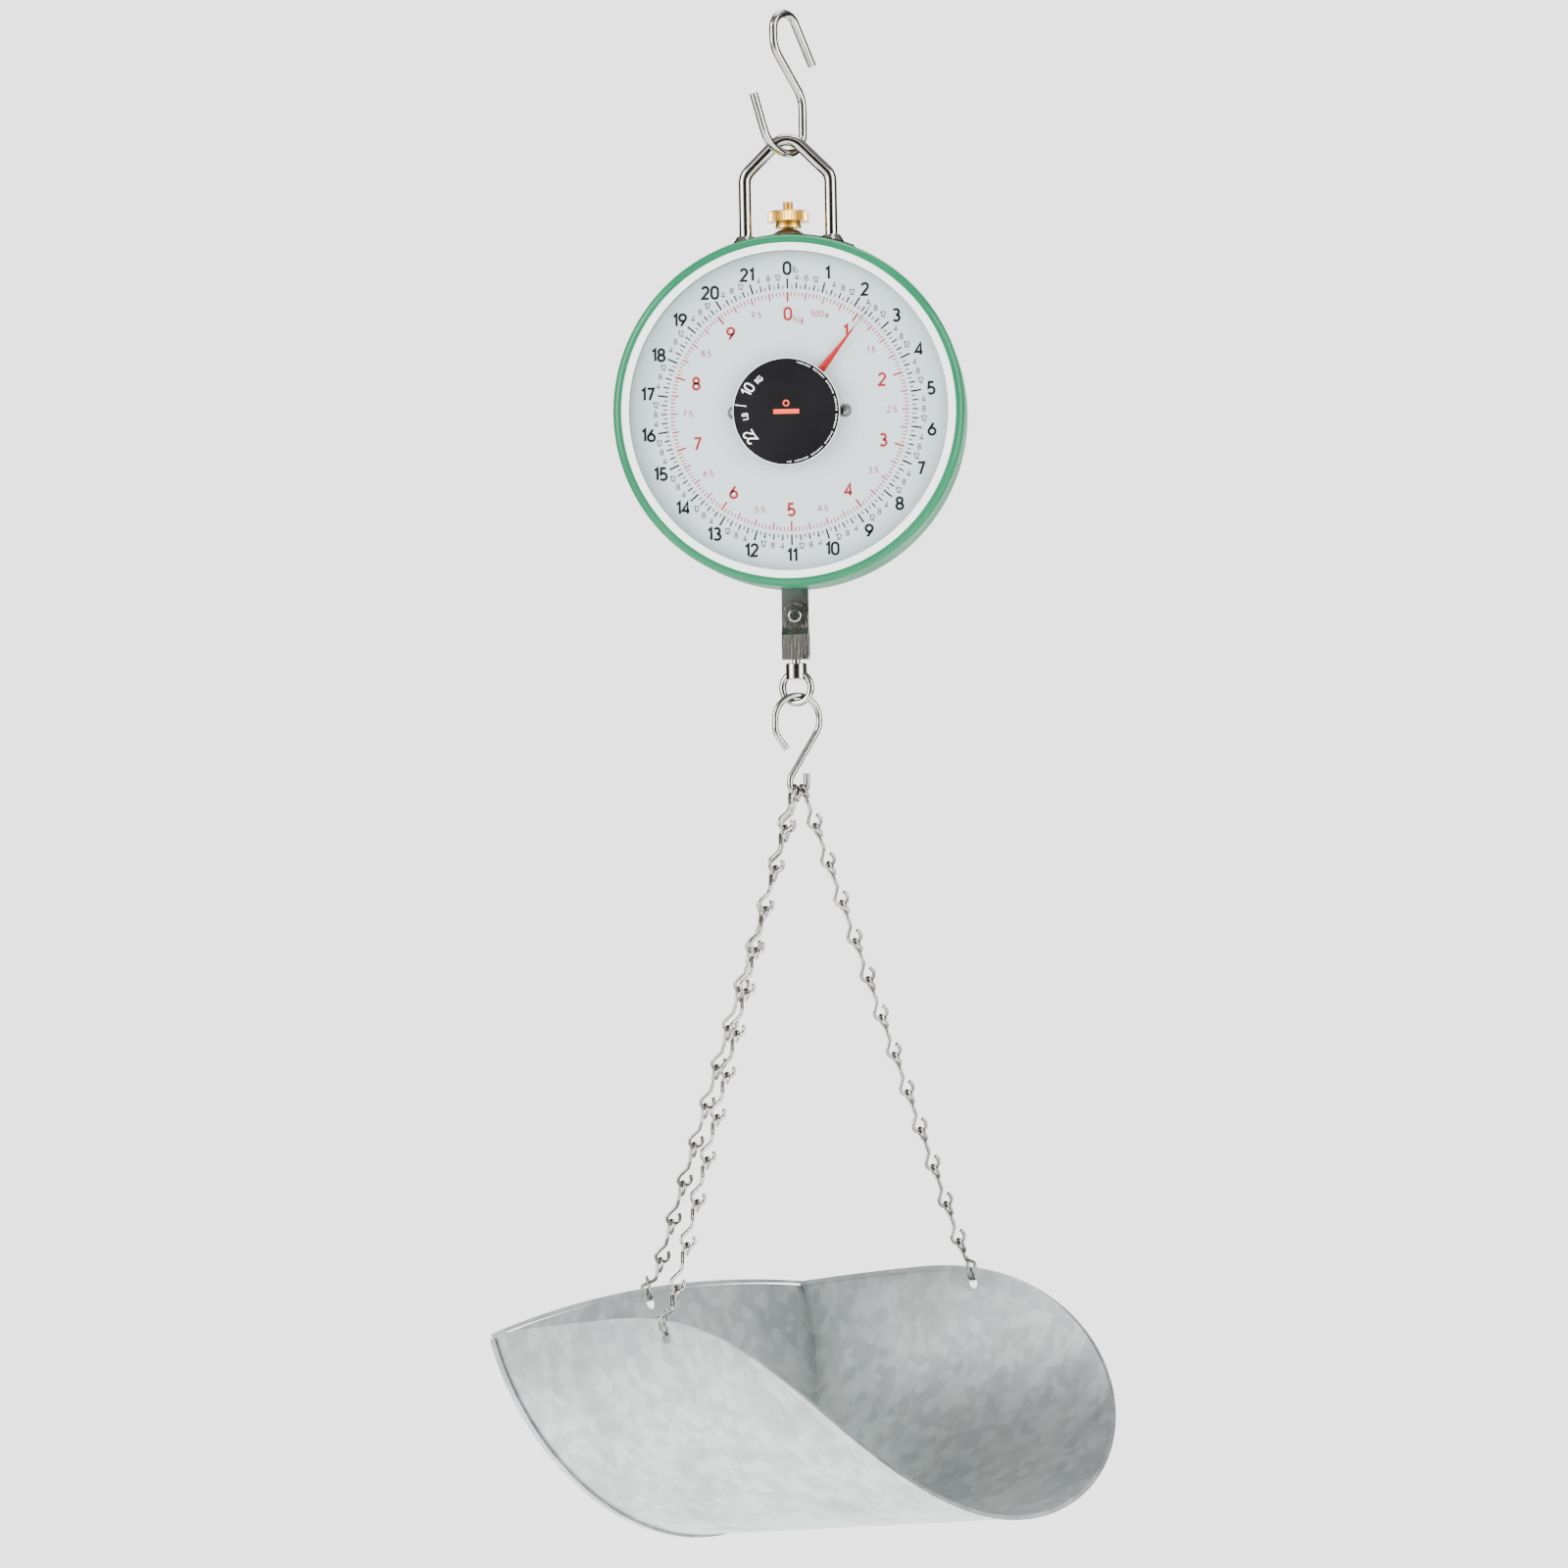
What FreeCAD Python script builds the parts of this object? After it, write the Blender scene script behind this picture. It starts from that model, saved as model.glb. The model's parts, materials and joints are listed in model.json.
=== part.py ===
import FreeCAD, Part
import math
import os
from FreeCAD import Vector

# Hanging dial scale.  +Z is up, the dial faces -Y, +X is to the reader's right.
# The origin is where the top hook's crown rests on whatever it hangs from.
# Everything is in millimetres and degrees.

# ---- clearances ----
loop_gap = 0.3          # between two interlocked wires
running_gap = 0.05      # radial, shafts and pins that turn
slide_gap = 0.4         # round parts that slide
seat_gap = 0.15         # loose sheet-metal fits
beyond = 9.0            # how far a cutting tool runs past the face it starts from

# ---- top hook ----
top_hook_wire = 4.7
top_hook_reach = 78.4      # crown centre to seat centre
top_hook_crown = 9.0       # radius of the narrow crown
top_hook_seat = 12.7       # radius of the seat on the shank side
top_hook_seat_tip = 19.0   # radius of the seat on the open side
top_hook_twist = 48.0      # the hook's plane about Z
top_hook_upper_leg = 31.5
top_hook_lower_leg = 34.0
top_hook_upper_lean = 30.0
top_hook_lower_lean = 21.2
top_hook_shank_top = 19.4  # below the crown centre
top_hook_shank_end = 46.4

# ---- bail ----
bail_rod = 7.0
bail_span = 48.3           # between the legs' centre-lines
bail_crown = 10.0          # radius of the apex bend
bail_shoulder_bend = 9.0
bail_seat_drop = 7.7       # bail apex centre above the hook's seat centre
bail_neck = 6.0            # threaded end below the top plate
bail_neck_past_nut = 2.0
bail_nut_flats = 10.0
bail_nut_height = 4.5
collar_top_radius = 4.9
collar_base_radius = 7.2
collar_height = 3.6

# ---- drum ----
drum_radius = 98.0
drum_wall = 1.0
drum_front = 29.5          # front rim ahead of the hanging plane
drum_back = 26.0
drum_drop = 154.0          # dial centre below the bail's apex centre
rim_round = 4.0
lens_radius = 93.2
lens_window_radius = 88.9
lens_thickness = 2.0
lens_ring_depth = 1.8
lens_recess = 0.4          # lens ring behind the rim's front
seat_ledge = 1.2
badge_radius = 29.8
badge_thickness = 0.6
badge_offset_x = -1.2
badge_offset_z = -0.6
strap_length = 75.0
strap_width = 24.0
strap_thickness = 2.0
cover_thickness = 1.0
cover_flange = 8.0
cover_dome = 3.0
cover_bowl = 0.82          # the dome's foot, as a share of the cover's radius
cover_crown = 0.5          # the dome's flat crown, as a share of its foot

# ---- dial ----
dial_radius = 91.5
dial_thickness = 0.8
dial_setback = 11.7        # dial face behind the drum's front rim
dial_hole = 5.0
dial_screw_spacing = 62.0
dial_screw_head = 8.2
dial_screw_shank = 3.9
dial_screw_rise = 2.5
dial_post_radius = 4.0

# ---- chassis ----
sheet = 1.5
web_half_width = 38.0
neck_half_width = 31.0
web_setback = 20.0         # web's front face behind the drum's front rim
flange_drop = 6.2          # top flange below the drum's top
neck_depth = 8.0
web_bottom_gap = 12.0      # bottom flange above the drum's bottom
flange_back = 12.0
post_spread = 68.0
post_upper = 57.0          # above the dial centre
post_lower = 53.0          # below it
post_radius = 3.5
cover_screw_head = 7.0
cover_screw_shank = 3.4
cover_screw_rise = 2.1
cover_screw_gap = 0.45     # under the head, where the cover slopes
bridge_half_width = 13.8
bridge_height = 16.0
bridge_back = 9.5
bush_radius = 3.5
bush_length = 3.0

# ---- zero adjuster ----
stud = 6.0
stud_top = 5.3             # above the nut
nut_radius = 11.4
nut_height = 5.8
nut_ribs = 48
nut_rib_depth = 0.5
nut_collar_radius = 7.5
nut_collar_height = 3.6
nut_collar_taper = 0.8
nut_bevel = 1.2
washer_radius = 10.5
washer_height = 4.0
washer_flat = 0.3          # ground off the dome's top
yoke_length = 56.0
yoke_depth = 8.0
yoke_height = 6.0
upper_yoke_drop = 22.0     # below the drum's top

# ---- springs, rack and pinion ----
spring_spread = 44.0
spring_radius = 6.4
spring_wire = 1.7
lower_yoke_drop = 22.0     # lower yoke's top below the dial centre
spring_hook = 5.0
gear_module = 0.5
pinion_teeth = 12
gear_backlash = 0.16
addendum = 0.84            # in modules
dedendum = 1.25
pinion_width = 6.0
shaft = 3.0
rack_width = 3.0
rack_back = 4.2            # solid metal behind the rack's teeth
rack_rise = 24.0           # rack's top above the dial centre at rest
rack_foot = 12.0
rack_foot_height = 3.0
rack_screw = 3.0
rack_screw_head = 5.1
rack_screw_rise = 1.8
tooth_sink = 0.2           # how far each tooth runs into the bar behind it
pressure_angle = 20.0
tip_relief = 1.25          # pinion teeth narrow a little faster than straight flanks
root_relief = 0.55

# ---- pointer ----
pointer_reach = 75.4
pointer_blade = 59.4
pointer_root = 5.6
pointer_tail = 12.0
pointer_needle = 0.7
pointer_thickness = 0.9
pointer_reading = 38.9     # degrees clockwise from zero at rest
hub_radius = 5.0
hub_length = 4.5
pointer_gap = 2.6          # blade behind the lens

# ---- drawbar, stirrup and swivel ----
bar_width = 15.2
bar_thickness = 3.0
stirrup_sheet = 2.0
stirrup_width = 15.0
stirrup_screw_drop = 15.3  # screw below the drum's bottom
stirrup_tab_radius = 7.5
joggle_top = 7.4           # below the screw
joggle_bottom = 11.4
joggle_out = 4.4
stirrup_drop = 24.5        # underside of the stirrup below the screw
stirrup_screw = 5.0
stirrup_screw_head = 7.6
stirrup_screw_rise = 2.6
stirrup_washer = 12.6
stirrup_washer_thickness = 1.0
swivel_neck = 4.7
swivel_neck_length = 2.0
swivel_head_radius = 5.9
swivel_head_length = 9.2
swivel_button = 4.6
swivel_button_height = 2.5
ring_wire = 4.0
ring_radius = 8.6          # to the wire's centre-line
ring_twist = -20.0
ring_hole_up = 4.0         # ring's wire above the head's lower end
ring_hole_play = 0.85      # around the wire, so that the ring can swing

# ---- lower hook ----
low_hook_wire = 3.5
low_hook_twist = 24.0
low_hook_top = 13.1        # radius of the large loop
low_hook_reach = 54.7      # crown centre to seat centre
low_hook_seat = 5.0
low_hook_tip_drop = 29.9
low_hook_tip_side = 6.6
low_hook_tip_corner = 20.8
low_hook_shank_top = 18.2
low_hook_shank_end = 46.6
low_hook_leg = 11.0
low_hook_gap = 0.55

# ---- chains ----
chain_wire = 2.0
chain_pitch = 24.3
link_half_width = 3.9      # loop radius to the wire's centre-line
link_waist = 2.2           # straight part each side of the link's middle
link_bend = 2.0
link_end_gap = 0.7
link_play = 0.15
nest_gap = 0.35            # between neighbouring chains in the hook's seat
tie_radius = 3.1           # the last link's open bend through the pan
tie_leg = 13.5
tie_over = 3.2             # last link's shoulder above the pan's rim

# ---- pan ----
pan_sheet = 0.8
pan_radius = 125.0
pan_front = 193.0          # lip ahead of the widest section
pan_widest = 12.1
pan_wrap = 93.4            # half angle of the wall at its widest
pan_lip_power = 2.32
pan_back_foot = 50.2       # back plate's foot behind the middle
pan_back_lean = 31.3       # how far its top corners lean out further
pan_back_arch = 11.0
pan_back_narrowing = 0.7   # degrees the wall loses towards the back
rim_bead = 2.8
rim_bead_proud = 0.8
seam_width = 4.0
seam_proud = 1.4
pan_hole = 6.4
pan_hole_inset = 9.4
pan_hole_forward = 56.0
pan_drop = 414.5           # pan's bottom line below the hook's seat
pan_heading = -39.8
pan_pitch = -7.7
pan_roll = 1.6


# ---- shared places ----
hook_seat_z = top_hook_wire / 2 - top_hook_reach
bail_top_z = hook_seat_z + bail_seat_drop
dial_z = bail_top_z - drum_drop
drum_top = dial_z + drum_radius
drum_bottom = dial_z - drum_radius
inner_radius = drum_radius - drum_wall
rim_y = -drum_front
dial_y = rim_y + dial_setback
web_y = rim_y + web_setback
flange_z = drum_top - flange_drop
web_bottom = drum_bottom + web_bottom_gap
lens_front = rim_y + lens_recess + lens_ring_depth
lens_back = lens_front + lens_thickness
cover_y = drum_back - cover_thickness
pitch_radius = gear_module * pinion_teeth / 2
upper_yoke_z = drum_top - upper_yoke_drop
lower_yoke_z = dial_z - lower_yoke_drop
screw_z = drum_bottom - stirrup_screw_drop
stirrup_bottom = screw_z - stirrup_drop
head_top = stirrup_bottom - swivel_neck_length
head_bottom = head_top - swivel_head_length
ring_top = head_bottom + ring_hole_up
ring_bottom = ring_top - 2 * ring_radius
low_hook_crown = ring_bottom + (ring_wire + low_hook_wire) / 2 + low_hook_gap
low_hook_seat_z = low_hook_crown - low_hook_reach


# ---- helpers ----
def turn(shape, angle, axis, centre=Vector(0, 0, 0)):
    moved = shape.copy()
    moved.rotate(centre, axis, angle)
    return moved


def cylinder(radius, start, end):
    axis = end - start
    return Part.makeCylinder(radius, axis.Length, start, axis)


def block(x0, x1, y0, y1, z0, z1):
    return Part.makeBox(x1 - x0, y1 - y0, z1 - z0, Vector(x0, y0, z0))


def about_dial(points):
    """Revolve a closed (radius, y) outline about the dial's axis."""
    outline = [Vector(r, y, dial_z) for r, y in points]
    face = Part.Face(Part.makePolygon(outline + [outline[0]]))
    return face.revolve(Vector(0, 0, dial_z), Vector(0, 1, 0), 360)


def disc(radius, y0, y1, hole=0.0, x=0.0, z=None):
    centre = dial_z if z is None else z
    solid = cylinder(radius, Vector(x, y0, centre), Vector(x, y1, centre))
    if hole:
        solid = solid.cut(cylinder(hole, Vector(x, y0 - 1, centre), Vector(x, y1 + 1, centre)))
    return solid


def bent_path(points, radii):
    """Straight runs between the points, with a tangent arc of the given radius at each inner one."""
    edges = []
    start = points[0]
    for before, corner, after, radius in zip(points, points[1:], points[2:], radii):
        into = (corner - before).normalize()
        out = (after - corner).normalize()
        half_turn = into.getAngle(out) / 2
        if half_turn < 1e-4 or radius <= 0:
            continue
        reach = radius * math.tan(half_turn)
        begin = corner - into * reach
        end = corner + out * reach
        inward = (out - into).normalize()
        middle = corner + inward * (radius / math.cos(half_turn) - radius)
        if (begin - start).Length > 1e-3:
            edges.append(Part.LineSegment(start, begin).toShape())
        else:
            begin = start
        edges.append(Part.Arc(begin, middle, end).toShape())
        start = end
    if (points[-1] - start).Length > 1e-3:
        edges.append(Part.LineSegment(start, points[-1]).toShape())
    return Part.Wire(edges)


def bent_wire(points, radii, diameter):
    path = bent_path(points, radii)
    heading = points[1] - points[0]
    section = Part.Wire(Part.makeCircle(diameter / 2, points[0], heading))
    solid = path.makePipeShell([section], True, False)
    expected = path.Length * math.pi * diameter ** 2 / 4
    if abs(abs(solid.Volume) - expected) > 0.02 * expected:
        raise ValueError("a bent wire's volume is off")
    if solid.Volume < 0:
        solid.reverse()
    return solid


def group(solids):
    return Part.makeCompound(solids)


def save(name, shape):
    shape.exportStep("parts/" + name + ".step")


# ---- top hook and bail ----
def top_hook():
    twist = math.radians(top_hook_twist)
    crown_z = top_hook_wire / 2

    def at(u, z):
        return Vector(u * math.cos(twist), u * math.sin(twist), z)

    upper = math.radians(top_hook_upper_lean)
    lower = math.radians(top_hook_lower_lean)
    crown_corner = top_hook_crown * math.tan(math.radians(90 - top_hook_upper_lean) / 2)
    tip_corner = top_hook_seat_tip * math.tan(math.radians(90 - top_hook_lower_lean) / 2)
    upper_tip = at(crown_corner + top_hook_upper_leg * math.sin(upper),
                   crown_z - top_hook_upper_leg * math.cos(upper))
    lower_tip = at(-tip_corner - top_hook_lower_leg * math.sin(lower),
                   hook_seat_z + top_hook_lower_leg * math.cos(lower))
    points = [
        upper_tip,
        at(crown_corner, crown_z),
        at(-top_hook_crown, crown_z),
        at(-top_hook_crown, crown_z - top_hook_shank_top),
        at(top_hook_seat, crown_z - top_hook_shank_end),
        at(top_hook_seat, hook_seat_z),
        at(-tip_corner, hook_seat_z),
        lower_tip,
    ]
    shank_bend = 1.8 * top_hook_crown
    radii = [top_hook_crown, top_hook_crown, shank_bend, shank_bend, top_hook_seat, top_hook_seat_tip]
    return bent_wire(points, radii, top_hook_wire)


def bail_leg_places():
    return [-bail_span / 2, bail_span / 2]


def wall_top(x, radius):
    return dial_z + math.sqrt(radius ** 2 - x ** 2)


def bail():
    half = bail_span / 2
    apex_corner = bail_top_z + bail_crown * (math.sqrt(2) - 1)
    leg_end = wall_top(half, drum_radius + strap_thickness) - 0.5
    points = [
        Vector(-half, 0, leg_end),
        Vector(-half, 0, apex_corner - half),
        Vector(0, 0, apex_corner),
        Vector(half, 0, apex_corner - half),
        Vector(half, 0, leg_end),
    ]
    rod = bent_wire(points, [bail_shoulder_bend, bail_crown, bail_shoulder_bend], bail_rod)
    rod = rod.cut(disc(drum_radius + strap_thickness, -strap_width, strap_width))
    neck_end = flange_z - sheet - bail_nut_height - bail_neck_past_nut
    for x in bail_leg_places():
        rod = rod.fuse(cylinder(bail_neck / 2, Vector(x, 0, neck_end), Vector(x, 0, leg_end + bail_neck)))
    return rod.removeSplitter()


def bail_collars():
    outer = disc(drum_radius + strap_thickness, -strap_width, strap_width)
    collars = []
    for x in bail_leg_places():
        base = wall_top(x, drum_radius + strap_thickness)
        cone = Part.makeCone(collar_base_radius, collar_top_radius, collar_height,
                             Vector(x, 0, base - 0.6), Vector(0, 0, 1))
        skirt = cylinder(collar_base_radius, Vector(x, 0, base - 4), Vector(x, 0, base - 0.6))
        bore = cylinder(bail_rod / 2, Vector(x, 0, base - 6), Vector(x, 0, base + beyond))
        collars.append(cone.fuse(skirt).cut(outer).cut(bore))
    return group(collars)


def bail_nuts():
    nuts = []
    top = flange_z - sheet
    for x in bail_leg_places():
        corner = bail_nut_flats / 2 / math.cos(math.pi / 6)
        points = [Vector(x + corner * math.cos(k * math.pi / 3), corner * math.sin(k * math.pi / 3),
                         top - bail_nut_height) for k in range(6)]
        nut = Part.Face(Part.makePolygon(points + [points[0]])).extrude(Vector(0, 0, bail_nut_height))
        nuts.append(nut.cut(cylinder(bail_neck / 2, Vector(x, 0, top - beyond), Vector(x, 0, top + 1))))
    return group(nuts)


def bail_spacers():
    inside = disc(inner_radius, -strap_width, strap_width)
    spacers = []
    for x in bail_leg_places():
        tube = cylinder(bail_nut_flats / 2, Vector(x, 0, flange_z), Vector(x, 0, drum_top))
        bore = cylinder(bail_neck / 2, Vector(x, 0, flange_z - 1), Vector(x, 0, drum_top + 1))
        spacers.append(tube.common(inside).cut(bore))
    return group(spacers)


# ---- drum, lens and cover ----
def top_holes():
    holes = [cylinder(bail_neck / 2, Vector(x, 0, flange_z - beyond), Vector(x, 0, drum_top + beyond))
             for x in bail_leg_places()]
    low, high = Vector(0, 0, flange_z - beyond), Vector(0, 0, drum_top + beyond)
    holes.append(cylinder(stud / 2 + slide_gap, low, high))
    return holes


def top_plate():
    band = disc(drum_radius + strap_thickness, -strap_width / 2, strap_width / 2, drum_radius)
    half = strap_length / 2
    strap = band.common(block(-half, half, -strap_width, strap_width, dial_z, drum_top + beyond))
    for hole in top_holes():
        strap = strap.cut(hole)
    return strap


def drum_shell():
    front = rim_y
    lip = lens_radius + seat_gap
    knee = rim_round * (1 - math.cos(math.pi / 4))
    core = rim_round - drum_wall
    core_knee = core * (1 - math.cos(math.pi / 4))
    outline = [
        Vector(drum_radius, drum_back, dial_z),
        Vector(drum_radius, front + rim_round, dial_z),
        Vector(drum_radius - knee, front + knee, dial_z),
        Vector(drum_radius - rim_round, front, dial_z),
        Vector(lip, front, dial_z),
        Vector(lip, lens_back, dial_z),
        Vector(lens_window_radius, lens_back, dial_z),
        Vector(lens_window_radius, lens_back + seat_ledge, dial_z),
        Vector(inner_radius - 0.5, lens_back + seat_ledge, dial_z),
        Vector(inner_radius, lens_back + seat_ledge + 0.5, dial_z),
        Vector(inner_radius, drum_back, dial_z),
    ]
    edges = [Part.LineSegment(outline[0], outline[1]).toShape(),
             Part.Arc(outline[1], outline[2], outline[3]).toShape()]
    for one, two in zip(outline[3:], outline[4:] + [outline[0]]):
        edges.append(Part.LineSegment(one, two).toShape())
    face = Part.Face(Part.Wire(edges))
    shell = face.revolve(Vector(0, 0, dial_z), Vector(0, 1, 0), 360)
    for hole in top_holes():
        shell = shell.cut(hole)
    slot_x = bar_width / 2 + slide_gap
    slot_y = bar_thickness / 2 + slide_gap
    return shell.cut(block(-slot_x, slot_x, -slot_y, slot_y, drum_bottom - beyond, drum_bottom + beyond))


def rear_cover():
    outer = inner_radius - seat_gap
    inner = outer - cover_thickness
    front = cover_y - cover_flange
    bowl = outer * cover_bowl
    cover = about_dial([
        (0, drum_back + cover_dome), (bowl * cover_crown, drum_back + cover_dome), (bowl, drum_back),
        (outer, drum_back), (outer, front), (inner, front), (inner, cover_y), (bowl, cover_y),
        (bowl * cover_crown, cover_y + cover_dome), (0, cover_y + cover_dome),
    ])
    for x, z in post_places():
        hole = cylinder(cover_screw_shank / 2 + seat_gap, Vector(x, 0, z), Vector(x, drum_back + beyond, z))
        cover = cover.cut(hole)
    return cover


def post_places():
    half = post_spread / 2
    return [(side * half, dial_z + level) for side in (-1, 1) for level in (post_upper, -post_lower)]


def cover_face_at(x, z):
    reach = math.hypot(x, z - dial_z)
    bowl = (inner_radius - seat_gap) * cover_bowl
    rise = cover_dome * min(1.0, max(0.0, (bowl - reach) / (bowl * cover_crown)))
    return cover_y + rise


def rear_posts():
    posts = []
    cover = rear_cover()
    for x, z in post_places():
        end = cover_face_at(x, z) + cover_dome
        post = cylinder(post_radius, Vector(x, web_y + sheet, z), Vector(x, end, z))
        behind = cylinder(post_radius + 1, Vector(x, cover_face_at(x, z) - 2, z), Vector(x, end + 3, z))
        trimmed = post.cut(behind)
        bore = cylinder(cover_screw_shank / 2, Vector(x, cover_y - 12, z), Vector(x, end + beyond, z))
        posts.append(trimmed.cut(bore).cut(cover))
    return group(posts)


def rear_cover_screws():
    screws = []
    for x, z in post_places():
        seat = cover_face_at(x, z) + cover_thickness + cover_screw_gap
        shank = cylinder(cover_screw_shank / 2, Vector(x, cover_y - 11, z), Vector(x, seat + 0.1, z))
        middle = seat + cover_screw_rise - cover_screw_head / 2
        head = Part.makeSphere(cover_screw_head / 2, Vector(x, middle, z))
        head = head.common(cylinder(9, Vector(x, seat, z), Vector(x, seat + beyond, z)))
        screws.append(shank.fuse(head))
    return group(screws)


def lens():
    return disc(lens_radius, lens_front, lens_back)


def lens_ring():
    return disc(lens_radius, rim_y + lens_recess, lens_front, lens_window_radius)


def badge_disc():
    return disc(badge_radius, lens_front - badge_thickness, lens_front,
                x=badge_offset_x, z=dial_z + badge_offset_z)


# ---- dial and chassis ----
def dial_screw_places():
    return [-dial_screw_spacing / 2, dial_screw_spacing / 2]


def dial_plate():
    plate = disc(dial_radius, dial_y, dial_y + dial_thickness, dial_hole)
    for x in dial_screw_places():
        plate = plate.cut(disc(dial_screw_shank / 2 + seat_gap, dial_y - 1, dial_y + 2, x=x))
    return plate


def dial_screws():
    screws = []
    for x in dial_screw_places():
        shank = disc(dial_screw_shank / 2, dial_y - 0.1, web_y - 1, x=x)
        middle = dial_y - dial_screw_rise + dial_screw_head / 2
        head = Part.makeSphere(dial_screw_head / 2, Vector(x, middle, dial_z))
        head = head.common(block(x - beyond, x + beyond, dial_y - beyond, dial_y,
                                 dial_z - beyond, dial_z + beyond))
        screws.append(shank.fuse(head))
    return group(screws)


def dial_posts():
    back = dial_y + dial_thickness
    return group([disc(dial_post_radius, back, web_y, dial_screw_shank / 2, x=x)
                  for x in dial_screw_places()])


def chassis():
    web = block(-web_half_width, web_half_width, web_y, web_y + sheet,
                web_bottom, flange_z - neck_depth)
    neck = block(-neck_half_width, neck_half_width, web_y, web_y + sheet,
                 flange_z - neck_depth - 1, flange_z)
    top = block(-neck_half_width, neck_half_width, web_y, flange_back, flange_z - sheet, flange_z)
    foot_half = bar_width / 2 + 10
    bottom = block(-foot_half, foot_half, web_y, flange_back, web_bottom, web_bottom + sheet)
    body = web.fuse(neck).fuse(top).fuse(bottom).removeSplitter()
    body = body.common(disc(inner_radius - seat_gap, web_y - 1, flange_back + 1))
    for hole in top_holes():
        body = body.cut(hole)
    slot_x = bar_width / 2 + slide_gap
    slot_y = bar_thickness / 2 + slide_gap
    body = body.cut(block(-slot_x, slot_x, -slot_y, slot_y, web_bottom - beyond, web_bottom + beyond))
    return body.cut(disc(bush_radius, web_y - 1, web_y + sheet + 1))


def bridge():
    half = bridge_height / 2
    front = web_y + sheet
    outer = block(-bridge_half_width, bridge_half_width, front, bridge_back, dial_z - half, dial_z + half)
    hollow = block(-bridge_half_width + sheet, bridge_half_width - sheet, front - 1, bridge_back - sheet,
                   dial_z - half - 1, dial_z + half + 1)
    return outer.cut(hollow).cut(disc(bush_radius, bridge_back - beyond, bridge_back + beyond))


def bushes():
    bore = shaft / 2 + running_gap
    front = disc(bush_radius, web_y + sheet - bush_length, web_y + sheet, bore)
    rear = disc(bush_radius, bridge_back - sheet, bridge_back - sheet + bush_length, bore)
    return front, rear


# ---- zero adjuster ----
def nut_base():
    return drum_top + strap_thickness + washer_height + loop_gap


def nut_top():
    return nut_base() + nut_collar_height + nut_height


def adjuster_nut():
    base = nut_base()
    collar = Part.makeCone(nut_collar_radius, nut_collar_radius - nut_collar_taper, nut_collar_height,
                           Vector(0, 0, base), Vector(0, 0, 1))
    wheel_z = base + nut_collar_height
    points = []
    for k in range(2 * nut_ribs):
        reach = nut_radius if k % 2 else nut_radius - nut_rib_depth
        angle = math.pi * k / nut_ribs
        points.append(Vector(reach * math.cos(angle), reach * math.sin(angle), wheel_z))
    wheel = Part.Face(Part.makePolygon(points + [points[0]])).extrude(Vector(0, 0, nut_height))
    bevel_z = wheel_z + nut_height - nut_bevel
    bevel = Part.makeCone(nut_radius, nut_radius - nut_bevel, nut_bevel,
                          Vector(0, 0, bevel_z), Vector(0, 0, 1))
    tube = cylinder(nut_radius + 1, Vector(0, 0, wheel_z - 1), Vector(0, 0, bevel_z))
    wheel = wheel.common(tube.fuse(bevel))
    bore = cylinder(stud / 2 + running_gap, Vector(0, 0, base - 1), Vector(0, 0, wheel_z + beyond))
    return collar.fuse(wheel).cut(bore)


def dome_washer():
    base = drum_top + strap_thickness
    ball = (washer_radius ** 2 + washer_height ** 2) / (2 * washer_height)
    dome = Part.makeSphere(ball, Vector(0, 0, base + washer_height - ball))
    dome = dome.common(cylinder(washer_radius, Vector(0, 0, base - 3), Vector(0, 0, base + beyond)))
    flat = washer_height - washer_flat
    dome = dome.cut(cylinder(washer_radius, Vector(0, 0, base + flat), Vector(0, 0, base + 19)))
    dome = dome.fuse(cylinder(washer_radius, Vector(0, 0, base - 3), Vector(0, 0, base + 0.02)))
    dome = dome.cut(disc(drum_radius + strap_thickness, -strap_width, strap_width))
    bore = stud / 2 + slide_gap
    return dome.cut(cylinder(bore, Vector(0, 0, base - 5), Vector(0, 0, base + beyond))).removeSplitter()


def adjuster_rod():
    return cylinder(stud / 2, Vector(0, 0, upper_yoke_z - yoke_height), Vector(0, 0, nut_top() + stud_top))


def yoke_bar(top):
    half = yoke_length / 2
    bar = block(-half, half, -yoke_depth / 2, yoke_depth / 2, top - yoke_height, top)
    for side in (-1, 1):
        x = side * spring_spread / 2
        hole = cylinder(spring_wire / 2 + 0.6, Vector(x, -yoke_depth, top - yoke_height / 2),
                        Vector(x, yoke_depth, top - yoke_height / 2))
        bar = bar.cut(hole)
    return bar


def upper_yoke():
    rod = cylinder(stud / 2, Vector(0, 0, upper_yoke_z - 20), Vector(0, 0, upper_yoke_z + 20))
    return yoke_bar(upper_yoke_z).cut(rod)


def springs():
    top = upper_yoke_z - yoke_height
    pair = []
    for side in (-1, 1):
        x = side * spring_spread / 2
        high = Vector(x, 0, top - spring_hook)
        low = Vector(x, 0, lower_yoke_z + spring_hook)
        coil = cylinder(spring_radius, low, high)
        coil = coil.cut(cylinder(spring_radius - spring_wire, low + Vector(0, 0, spring_wire),
                                 high - Vector(0, 0, spring_wire)))
        upper = cylinder(spring_wire / 2, high, Vector(x, 0, top - 0.1))
        lower = cylinder(spring_wire / 2, Vector(x, 0, lower_yoke_z + 0.1), low)
        pair.append(coil.fuse(upper).fuse(lower))
    return pair


# ---- drawbar, rack and pinion ----
def bar_section(grow, z0, z1):
    x = bar_width / 2 + grow
    y = bar_thickness / 2 + grow
    return block(-x, x, -y, y, z0, z1)


def lower_yoke():
    bar = yoke_bar(lower_yoke_z)
    bar = bar.cut(bar_section(0, lower_yoke_z - yoke_height - 1, lower_yoke_z - sheet))
    x = rack_foot_x()
    low, high = Vector(x, 0, lower_yoke_z - beyond), Vector(x, 0, lower_yoke_z + beyond)
    return bar.cut(cylinder(rack_screw / 2, low, high))


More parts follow.
